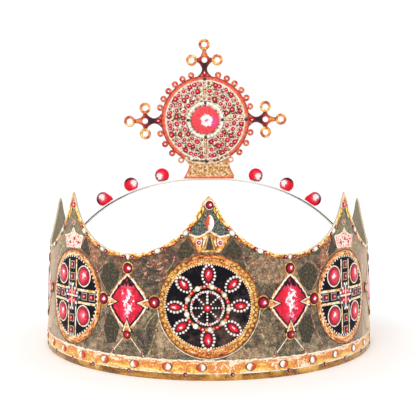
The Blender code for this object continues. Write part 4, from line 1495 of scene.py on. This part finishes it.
gems = bmesh.new()
gems.verts.layers.float.new("rim")
gems.verts.layers.float_vector.new("spot")
for number, (reach, glint, dark_side) in enumerate(zip(GEM_REACHES, GEM_GLINTS, GEM_DARK_SIDES)):
    turn = asin((reach - ARCH_FLAT_HALF) / ARCH_CURVE_REACH)
    foot = (ARCH_FLAT_HALF + ARCH_CURVE_REACH * sin(turn), ARCH_SPRING_HEIGHT + ARCH_RISE * cos(turn))
    normal = (ARCH_RISE * sin(turn), ARCH_CURVE_REACH * cos(turn))
    normal = (normal[0] / hypot(*normal), normal[1] / hypot(*normal))
    tilt = atan2(normal[0], normal[1])
    for side in (-1, 1):
        middle = (side * (foot[0] + normal[0] * GEM_STAND), foot[1] + normal[1] * GEM_STAND)
        add_gem(gems, gem_outline(number == 0), middle, tilt, -side, glint, dark_side)
bmesh.ops.remove_doubles(gems, verts=gems.verts[:], dist=0.0001)
gems.normal_update()
for face in gems.faces:
    if face.normal.z < 0:
        face.normal_flip()
    face.smooth = True
gem_mesh = bpy.data.meshes.new("arch_gem_prints")
gems.to_mesh(gem_mesh)
gems.free()
gem_ink = ruby_print(
    "bright ruby print, varnished", "#f41a30", "#e4122a", "#3a0a0e", "#f4788e", 0.44, glint_sway=(0, 0),
    glint_rise=0
)
gem_mesh.materials.append(gem_ink)
place("arch_gem_prints", gem_mesh, upright, "gem_tab_card")

# The finial is a flat die-cut disc on a flared foot, edged with small loops and three pierced crosslets.
# Its card stays, and its print is laid on its front in layers. It leans a little to the left.
DISC_CENTRE = (-2.2, 129.8)
DISC_LEAN = radians(0.85)
RIM = (26.9, 24.0)
RIM_OPENING = (241, 303)
PEARL_RING = 10.3
CENTRE_FIELD = 11.0
FOOT_LEVEL = ARCH_TOP + GLUE_GAP - DISC_CENTRE[1]


def on_finial(points):
    """Leans print with the disc, about its centre, and stands it up. The foot's base stays level."""
    leaning = points.copy()
    above = points[:, 1] > FOOT_LEVEL
    leaning[above, 0] = points[above, 0] * cos(DISC_LEAN) - points[above, 1] * sin(DISC_LEAN)
    leaning[above, 1] = points[above, 0] * sin(DISC_LEAN) + points[above, 1] * cos(DISC_LEAN)
    return upright(leaning + (*DISC_CENTRE, 0))


finial_card, tree, shader = new_material("finial board, gold face", Roughness=0.5)
where = add_node(tree, "ShaderNodeTexCoord").outputs["Object"]
facing = add_node(tree, "ShaderNodeNewGeometry").outputs["Normal"]
facing_y = add_node(tree, "ShaderNodeSeparateXYZ", {"Vector": facing}).outputs["Y"]
clouds = add_node(tree, "ShaderNodeTexNoise", {"Vector": where, "Scale": 1 / (2.5 * MM), "Detail": 4})
face_tint = add_node(
    tree, "ShaderNodeValToRGB", {"Fac": clouds},
    stops=[(0.3, "#ae6438"), (0.5, "#dc9060"), (0.7, "#f6cc9c")],
)
back_tint = add_node(tree, "ShaderNodeValToRGB", {"Fac": clouds}, stops=[(0.3, "#8d8170"), (0.7, "#a1957f")])
back_share = add_node(tree, "ShaderNodeMath", {0: facing_y, 1: 0.0}, operation="GREATER_THAN")
tints = add_node(tree, "ShaderNodeMix", {0: back_share, 6: face_tint, 7: back_tint}, data_type="RGBA")
tree.links.new(tints.outputs[2], shader.inputs["Base Color"])
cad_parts["finial_disc"].data.materials.clear()
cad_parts["finial_disc"].data.materials.append(finial_card)

# The disc's print: a coral rim with a cream inner line, open over the foot, round an olive and rosy field.
# The field is crowded with red stones in three rings, parted by beaded bars about a large coral stone in
# pearls.
coral_ink, tree, shader = new_material("coral print, varnished", Roughness=0.42, Coat_Weight=0.6, IOR=1.3)
sheet_map = add_node(tree, "ShaderNodeUVMap", uv_map="sheet")
across = add_node(tree, "ShaderNodeAttribute", attribute_name="across").outputs["Fac"]
clouds = add_node(tree, "ShaderNodeTexNoise", {"Vector": sheet_map, "Scale": 1 / 2.0, "Detail": 3})
depth = add_node(tree, "ShaderNodeMath", {0: clouds, 1: 1.2, 2: across}, operation="MULTIPLY_ADD")
depth = add_node(tree, "ShaderNodeMath", {0: depth, 1: 0.6}, operation="SUBTRACT")
corals = add_node(
    tree, "ShaderNodeValToRGB", {"Fac": depth},
    stops=[(0.0, "#b02c28"), (0.25, "#e04c38"), (0.5, "#ee7048"), (0.75, "#f4a070"), (1.0, "#fde2b8")],
)
tree.links.new(corals.outputs[0], shader.inputs["Base Color"])

olive_ink, tree, shader = new_material("olive field print", Roughness=0.5, IOR=1.3)
sheet_map = add_node(tree, "ShaderNodeUVMap", uv_map="sheet")
clouds = add_node(
    tree, "ShaderNodeTexNoise", {"Vector": sheet_map, "Scale": 1 / 1.6, "Detail": 3, "Roughness": 0.65}
)
olives = add_node(
    tree, "ShaderNodeValToRGB", {"Fac": clouds},
    stops=[(0.38, "#2a2012"), (0.44, "#73632e"), (0.5, "#b8a558"), (0.55, "#efe2bc"), (0.61, "#fffaf2")],
)
rosy = add_node(
    tree, "ShaderNodeValToRGB", {"Fac": clouds},
    stops=[(0.38, "#401814"), (0.44, "#94503c"), (0.5, "#cc8e76"), (0.55, "#f2d0c6"), (0.61, "#fff8f4")],
)
parts = add_node(tree, "ShaderNodeTexNoise", {"Vector": sheet_map, "Scale": 1 / 6, "Detail": 2})
rosy_share = add_node(tree, "ShaderNodeMapRange", {"Value": parts, "From Min": 0.42, "From Max": 0.58})
field = add_node(tree, "ShaderNodeMix", {0: rosy_share, 6: olives, 7: rosy}, data_type="RGBA")
tree.links.new(field.outputs[2], shader.inputs["Base Color"])

disc = new_print()
steps = 120
RIM_SPAN = (RIM_OPENING[1] - 360, RIM_OPENING[0])
add_band(disc, *[arc((0, 0), radius, *RIM_SPAN, steps) for radius in RIM], 0.1, across=(0.0, 0.75))
add_band(disc, *[arc((0, 0), radius, *RIM_OPENING, 30) for radius in RIM], 0.1, ink=1)
add_band(disc, circle((0, 0), RIM[1], steps), circle((0, 0), CENTRE_FIELD, steps), 0.08, closed=True, ink=1)
add_patch(disc, circle((0, 0), CENTRE_FIELD, 60), 0.08, ink=1)
FOOT_OFFSET = 2.1
FOOT_TOP = -25.6
foot_steps = 9
foot_left = []
foot_right = []
for step in range(foot_steps):
    share = step / (foot_steps - 1)
    level = FOOT_TOP + (FOOT_LEVEL + 1.4 - FOOT_TOP) * share
    half = 12.0 + 3.2 * share ** 1.6
    foot_left.append((FOOT_OFFSET - half, level))
    foot_right.append((FOOT_OFFSET + half, level))
add_band(disc, foot_left, foot_right, 0.05, across=(0.4, 0.4), ink=2)
for first, inward in ((foot_left, 0.9), (foot_right, -0.9)):
    add_band(disc, first[2:], [(x + inward, y) for x, y in first[2:]], 0.12, across=(0.1, 0.6))
add_band(
    disc, [foot_left[-1], foot_right[-1]], [(foot_left[-1][0], FOOT_LEVEL), (foot_right[-1][0], FOOT_LEVEL)],
    0.1, across=(0.7, 0.1),
)
foot_ink, tree, shader = new_material("peach foot print", Roughness=0.5, IOR=1.3)
sheet_map = add_node(tree, "ShaderNodeUVMap", uv_map="sheet")
clouds = add_node(
    tree, "ShaderNodeTexNoise", {"Vector": sheet_map, "Scale": 1 / 1.5, "Detail": 3, "Roughness": 0.6}
)
peaches = add_node(
    tree, "ShaderNodeValToRGB", {"Fac": clouds},
    stops=[(0.34, "#5e4c2a"), (0.42, "#b0823e"), (0.5, "#e4a464"), (0.58, "#f8d6ac"), (0.67, "#fffaf2")],
)
tree.links.new(peaches.outputs[0], shader.inputs["Base Color"])
finish_print("finial_print", disc, [coral_ink, olive_ink, foot_ink], on_finial, "finial_card")
rim_lines = [
    (circle((0, 0), PEARL_RING, 60), 0.95, True), (circle((0, 0), 24.1, steps), 0.4, True),
    (arc((0, 0), 26.5, *RIM_OPENING, 24), 0.25, False),
]

random = np.random.default_rng(7)
field_stones = []
field_dots = []
for reach, count in ((13.7, 23), (18.0, 30), (22.1, 36)):
    for step in range(count):
        angle = tau * (step + 0.5 * (reach > 15)) / count + random.uniform(-0.05, 0.05)
        stray = reach + random.uniform(-0.45, 0.45)
        x, y = stray * cos(angle), stray * sin(angle)
        if abs(x) > 1.9 and not (abs(y) < 1.9 and x > 0):
            size = random.uniform(1.05, 1.5)
            field_stones.append(
                (x, y, size, size * random.uniform(0.85, 1.25), angle + random.uniform(-0.5, 0.5))
            )
for reach, count in ((11.9, 34), (15.9, 46), (20.1, 58), (23.6, 50)):
    for step in range(count):
        angle = tau * step / count + random.uniform(-0.04, 0.04)
        x, y = (reach + random.uniform(-0.4, 0.4)) * cos(angle), reach * sin(angle)
        if abs(x) > 1.9 and random.random() < 0.8:
            field_dots.append((x, y, random.uniform(0.35, 0.6), 0.45, 0))
field_rims = [(x, y, wide + 0.36, tall + 0.36, turn) for x, y, wide, tall, turn in field_stones]
white_rims = [rim for number, rim in enumerate(field_rims) if number % 3]
white_rim = pearl_print("white rim print", "#ffffff", "#fff8f2", "#f2dcd0")
stones_at(
    "finial_white_rims", PEARL_BLANK, white_rims, white_rim, on_finial, "finial_card", proud=0.1, seed=70
)
stones_at(
    "finial_black_rims", PEARL_BLANK, field_rims[::3], jet, on_finial, "finial_card", proud=0.1, seed=76
)
field_ruby = ruby_print("small coral stone print", "#ec3446", "#dc2438", "#a8283a", "#f78a94", 0.2)
stones_at(
    "finial_field_stones", ROUND_BLANK, field_stones, field_ruby, on_finial, "finial_card", lift=0.2, seed=71
)
stones_at("finial_field_dots", PEARL_BLANK, field_dots, cream_bead, on_finial, "finial_card", seed=72)
bars = []
for angle in (0, pi / 2, 3 * pi / 2):
    along = (cos(angle), sin(angle))
    bars.append(([(12 * along[0], 12 * along[1]), (23.4 * along[0], 23.4 * along[1])], 0.8, False))
    for beside in (-1.25, 1.25):
        ends = [
            (reach * along[0] - beside * along[1], reach * along[1] + beside * along[0])
            for reach in (11.6, 23.8)
        ]
        rim_lines.append((ends, 0.25, False))
peach_bead = pearl_print("peach bead print", "#fde4c8", "#f4a268", "#b8603c")
beads_at("finial_bar_beads", bars, 1.9, peach_bead, on_finial, "finial_card", lift=0.2, seed=73)
lines_at("finial_rim_line", rim_lines, cream_ink, on_finial, "finial_card", lift=0.1)
pearl_ring = [(circle((0, 0), PEARL_RING, 60), 1.3, True)]
beads_at("finial_pearl_ring", pearl_ring, 2.4, pearl, on_finial, "finial_card", lift=0.2, seed=74)
jets = []
for angle in (0, pi / 2, pi, 3 * pi / 2):
    for reach, size in ((10.4, 1.0), (25.0, 1.0)):
        if reach > 20 and angle == pi:
            continue
        jets.append((reach * cos(angle), reach * sin(angle), size, size, 0))
stones_at("finial_jet_dots", ROUND_BLANK, jets, jet, on_finial, "finial_card", lift=0.5, seed=75)

# The centre stone: flat coral, magenta towards its right, with a ragged white ring of light that is open at
# its upper left. The pattern's scale is in radii of the stone.
centre_ink, tree, shader = new_material(
    "centre stone print, varnished", Roughness=0.35, Coat_Weight=0.3, Coat_Roughness=0.12, IOR=1.3
)
rim = add_node(tree, "ShaderNodeAttribute", attribute_name="rim").outputs["Fac"]
spot = add_node(tree, "ShaderNodeAttribute", attribute_name="spot").outputs["Vector"]
ragged = add_node(tree, "ShaderNodeTexNoise", {"Vector": spot, "Scale": 5, "Detail": 4, "Roughness": 0.7})
corals = add_node(
    tree, "ShaderNodeValToRGB", {"Fac": ragged},
    stops=[(0.35, "#f85a60"), (0.5, "#f2444e"), (0.65, "#e2323f")]
)
from_magenta = add_node(tree, "ShaderNodeVectorMath", {0: spot, 1: (0.5, -0.12, 0)}, operation="DISTANCE")
magenta = add_node(
    tree, "ShaderNodeMapRange",
    {"Value": from_magenta.outputs["Value"], "From Min": 0.5, "From Max": 0.2, "To Max": 0.75},
)
tinted = add_node(tree, "ShaderNodeMix", {0: magenta, 6: corals, 7: linear("#f04aa8")}, data_type="RGBA")
drift = add_node(
    tree, "ShaderNodeVectorMath", {0: ragged.outputs["Color"], 1: (0.5, 0.5, 0.5)}, operation="SUBTRACT"
)
wander = add_node(
    tree, "ShaderNodeVectorMath", {0: drift, 1: (0.9, 0.9, 0), 2: spot}, operation="MULTIPLY_ADD"
)
reach = add_node(tree, "ShaderNodeVectorMath", {0: wander, 1: (0.1, -0.02, 0)}, operation="DISTANCE")
off_ring = add_node(tree, "ShaderNodeMath", {0: reach.outputs["Value"], 1: 0.27}, operation="SUBTRACT")
off_ring = add_node(tree, "ShaderNodeMath", {0: off_ring}, operation="ABSOLUTE")
light = add_node(tree, "ShaderNodeMapRange", {"Value": off_ring, "From Min": 0.17, "From Max": 0.12})
lit = add_node(
    tree, "ShaderNodeMix", {0: light, 6: tinted.outputs[2], 7: linear("#fffafb")}, data_type="RGBA"
)
edge_share = add_node(
    tree, "ShaderNodeMapRange", {"Value": rim, "From Min": 0.93, "From Max": 1.0, "To Max": 0.6}
)
edged = add_node(
    tree, "ShaderNodeMix", {0: edge_share, 6: lit.outputs[2], 7: linear("#a83a2c")}, data_type="RGBA"
)
tree.links.new(edged.outputs[2], shader.inputs["Base Color"])
CENTRE_BLANK = stone_blank("centre blank", 40, (0.25, 0.5, 0.75, 0.92, 1))
stones_at(
    "finial_centre_stone", CENTRE_BLANK, [(0, 0, 8.6, 8.6, 0)], centre_ink, on_finial, "finial_card",
    lift=0.2, proud=0.4,
)

# Rim loops and crosslets: the print turns each loop and ring into a little cast one, coral, gold and dark
# red, with a drop ruby at the foot of each crosslet.
LOOP_REACH = 28.6
UPPER_LOOPS = [radians(16.8 + 11.4 * step) for step in range(6)]
LOWER_LOOPS = [radians(106 + 14 * step) for step in range(4)]
CROSSLET_REACH = 36.8
END_RING_REACH = 9.5
SIDE_RING_REACH = 7.85
loops = []
dark_rims = [(arc((0, 0), 26.8, *RIM_SPAN, steps), 0.18, False)]
for bearing in UPPER_LOOPS + LOWER_LOOPS[:3]:
    for side in (-1, 1):
        centre = (side * LOOP_REACH * sin(bearing), LOOP_REACH * cos(bearing))
        loops.append((circle(centre, 1.24, 16), 0.72, True))
        dark_rims.append((circle(centre, 1.85, 16), 0.14, True))
loop_ink = line_print(
    "loop print", [(0.32, "#a02c22"), (0.45, "#d24c36"), (0.57, "#ea7852"), (0.7, "#f8bc94")]
)
lines_at("finial_loops", loops, loop_ink, on_finial, "finial_card", lift=0.05, flatness=0.7)


def turned(point, bearing, centre):
    """A point turned clockwise as seen from the front, then moved to a centre."""
    across, up = point
    return (
        centre[0] + across * cos(bearing) + up * sin(bearing),
        centre[1] - across * sin(bearing) + up * cos(bearing),
    )


crosslet_ink, tree, shader = new_material(
    "crosslet print, red to aubergine", Roughness=0.42, Coat_Weight=0.2, IOR=1.3
)
sheet_map = add_node(tree, "ShaderNodeUVMap", uv_map="sheet")
across = add_node(tree, "ShaderNodeAttribute", attribute_name="across").outputs["Fac"]
warmth = add_node(tree, "ShaderNodeAttribute", attribute_name="warmth").outputs["Fac"]
clouds = add_node(tree, "ShaderNodeTexNoise", {"Vector": sheet_map, "Scale": 1 / 1.5, "Detail": 3})
warm = add_node(tree, "ShaderNodeMath", {0: clouds, 1: 0.5, 2: warmth}, operation="MULTIPLY_ADD")
warm = add_node(tree, "ShaderNodeMath", {0: warm, 1: 0.25}, operation="SUBTRACT")
reds = add_node(
    tree, "ShaderNodeValToRGB", {"Fac": warm},
    stops=[(0.1, "#340814"), (0.34, "#741622"), (0.5, "#b43a28"), (0.72, "#e46c40"), (1.0, "#f4b464")],
)
edge_share = add_node(tree, "ShaderNodeMapRange", {"Value": across, "From Min": 0.72, "From Max": 0.9})
edged = add_node(tree, "ShaderNodeMix", {0: edge_share, 6: reds, 7: linear("#4a1a1c")}, data_type="RGBA")
tree.links.new(edged.outputs[2], shader.inputs["Base Color"])

crosslets = new_print()
rings = []
drops = []
WEB = (
    (0, 6.3), (1.0, 6.2), (1.5, 4.2), (2.1, 2.6), (3.2, 1.4), (4.6, 1.0), (4.6, -1.0), (3.2, -1.7),
    (2.4, -3.1), (1.7, -4.6), (1.5, -5.7), (0, -5.7),
)
for bearing in (-pi / 2, 0, pi / 2):
    centre = (CROSSLET_REACH * sin(bearing), CROSSLET_REACH * cos(bearing))
    body = list(WEB) + [(-x, y) for x, y in WEB[-2:0:-1]]
    hole = []
    for x, y in body:
        reach = hypot(x, y)
        hole.append((x * 1.8 / reach, y * 1.8 / reach))
    warmths = [0.42 + 0.06 * y for x, y in body]
    middle_line = [((x + 3 * u) / 4, (y + 3 * v) / 4) for (x, y), (u, v) in zip(hole, body)]
    for first, second, shares in ((hole, middle_line, (0.3, 0.6)), (middle_line, body, (0.6, 1.0))):
        add_band(
            crosslets, [turned(point, bearing, centre) for point in first],
            [turned(point, bearing, centre) for point in second],
            0.06, across=shares, warmth=warmths, closed=True,
        )
    stem_left = [(-1.5, -5.7), (-1.8, -6.9), (-2.6, -8.4), (-4.2, -10.0)]
    stem_right = [(1.5, -5.7), (1.8, -6.9), (2.6, -8.4), (4.2, -10.0)]
    stem_middle = [(0, y) for x, y in stem_left]
    for first in (stem_left, stem_right):
        add_band(
            crosslets, [turned(point, bearing, centre) for point in stem_middle],
            [turned(point, bearing, centre) for point in first],
            0.06, across=(0.4, 1.0), warmth=[0.1, 0.35, 0.6, 0.7],
        )
    for ring_centre in ((0, END_RING_REACH), (-SIDE_RING_REACH, 0), (SIDE_RING_REACH, 0)):
        rings.append(
            ([turned(point, bearing, centre) for point in circle(ring_centre, 2.6, 24)], 0.82, True)
        )
        dark_rims.append(
            ([turned(point, bearing, centre) for point in circle(ring_centre, 3.2, 24)], 0.16, True)
        )
    drop = turned((0, -8.3), bearing, centre)
    drops.append((*drop, 1.35, 2.0, -bearing))
finish_print("finial_crosslets", crosslets, [crosslet_ink], on_finial, "finial_card")
ring_ink, tree, shader = new_material(
    "crosslet ring print, gold to red", Roughness=0.4, Coat_Weight=0.6, IOR=1.3
)
sheet_map = add_node(tree, "ShaderNodeUVMap", uv_map="sheet")
clouds = add_node(
    tree, "ShaderNodeTexNoise", {"Vector": sheet_map, "Scale": 1 / 4, "Detail": 4, "Roughness": 0.65}
)
golds = add_node(
    tree, "ShaderNodeValToRGB", {"Fac": clouds},
    stops=[(0.34, "#8e2c1e"), (0.43, "#d0502c"), (0.5, "#e88a38"), (0.57, "#f2c85c"), (0.68, "#fbecc0")],
)
tree.links.new(golds.outputs[0], shader.inputs["Base Color"])
lines_at("finial_crosslet_rings", rings, ring_ink, on_finial, "finial_card", lift=0.05, flatness=0.6)
dark_rim_ink = line_print("dark red rim print", [(0.3, "#5a1c16"), (0.5, "#84301f"), (0.7, "#b4583a")])
lines_at("finial_dark_rims", dark_rims, dark_rim_ink, on_finial, "finial_card", lift=0.16)
stones_at("finial_crosslet_drops", MARQUISE_BLANK, drops, ruby, on_finial, "finial_card", lift=0.15, seed=81)

for blank in (ROUND_BLANK, MARQUISE_BLANK, SQUARE_BLANK, PEARL_BLANK, LOZENGE_BLANK, CENTRE_BLANK):
    bpy.data.objects.remove(blank)
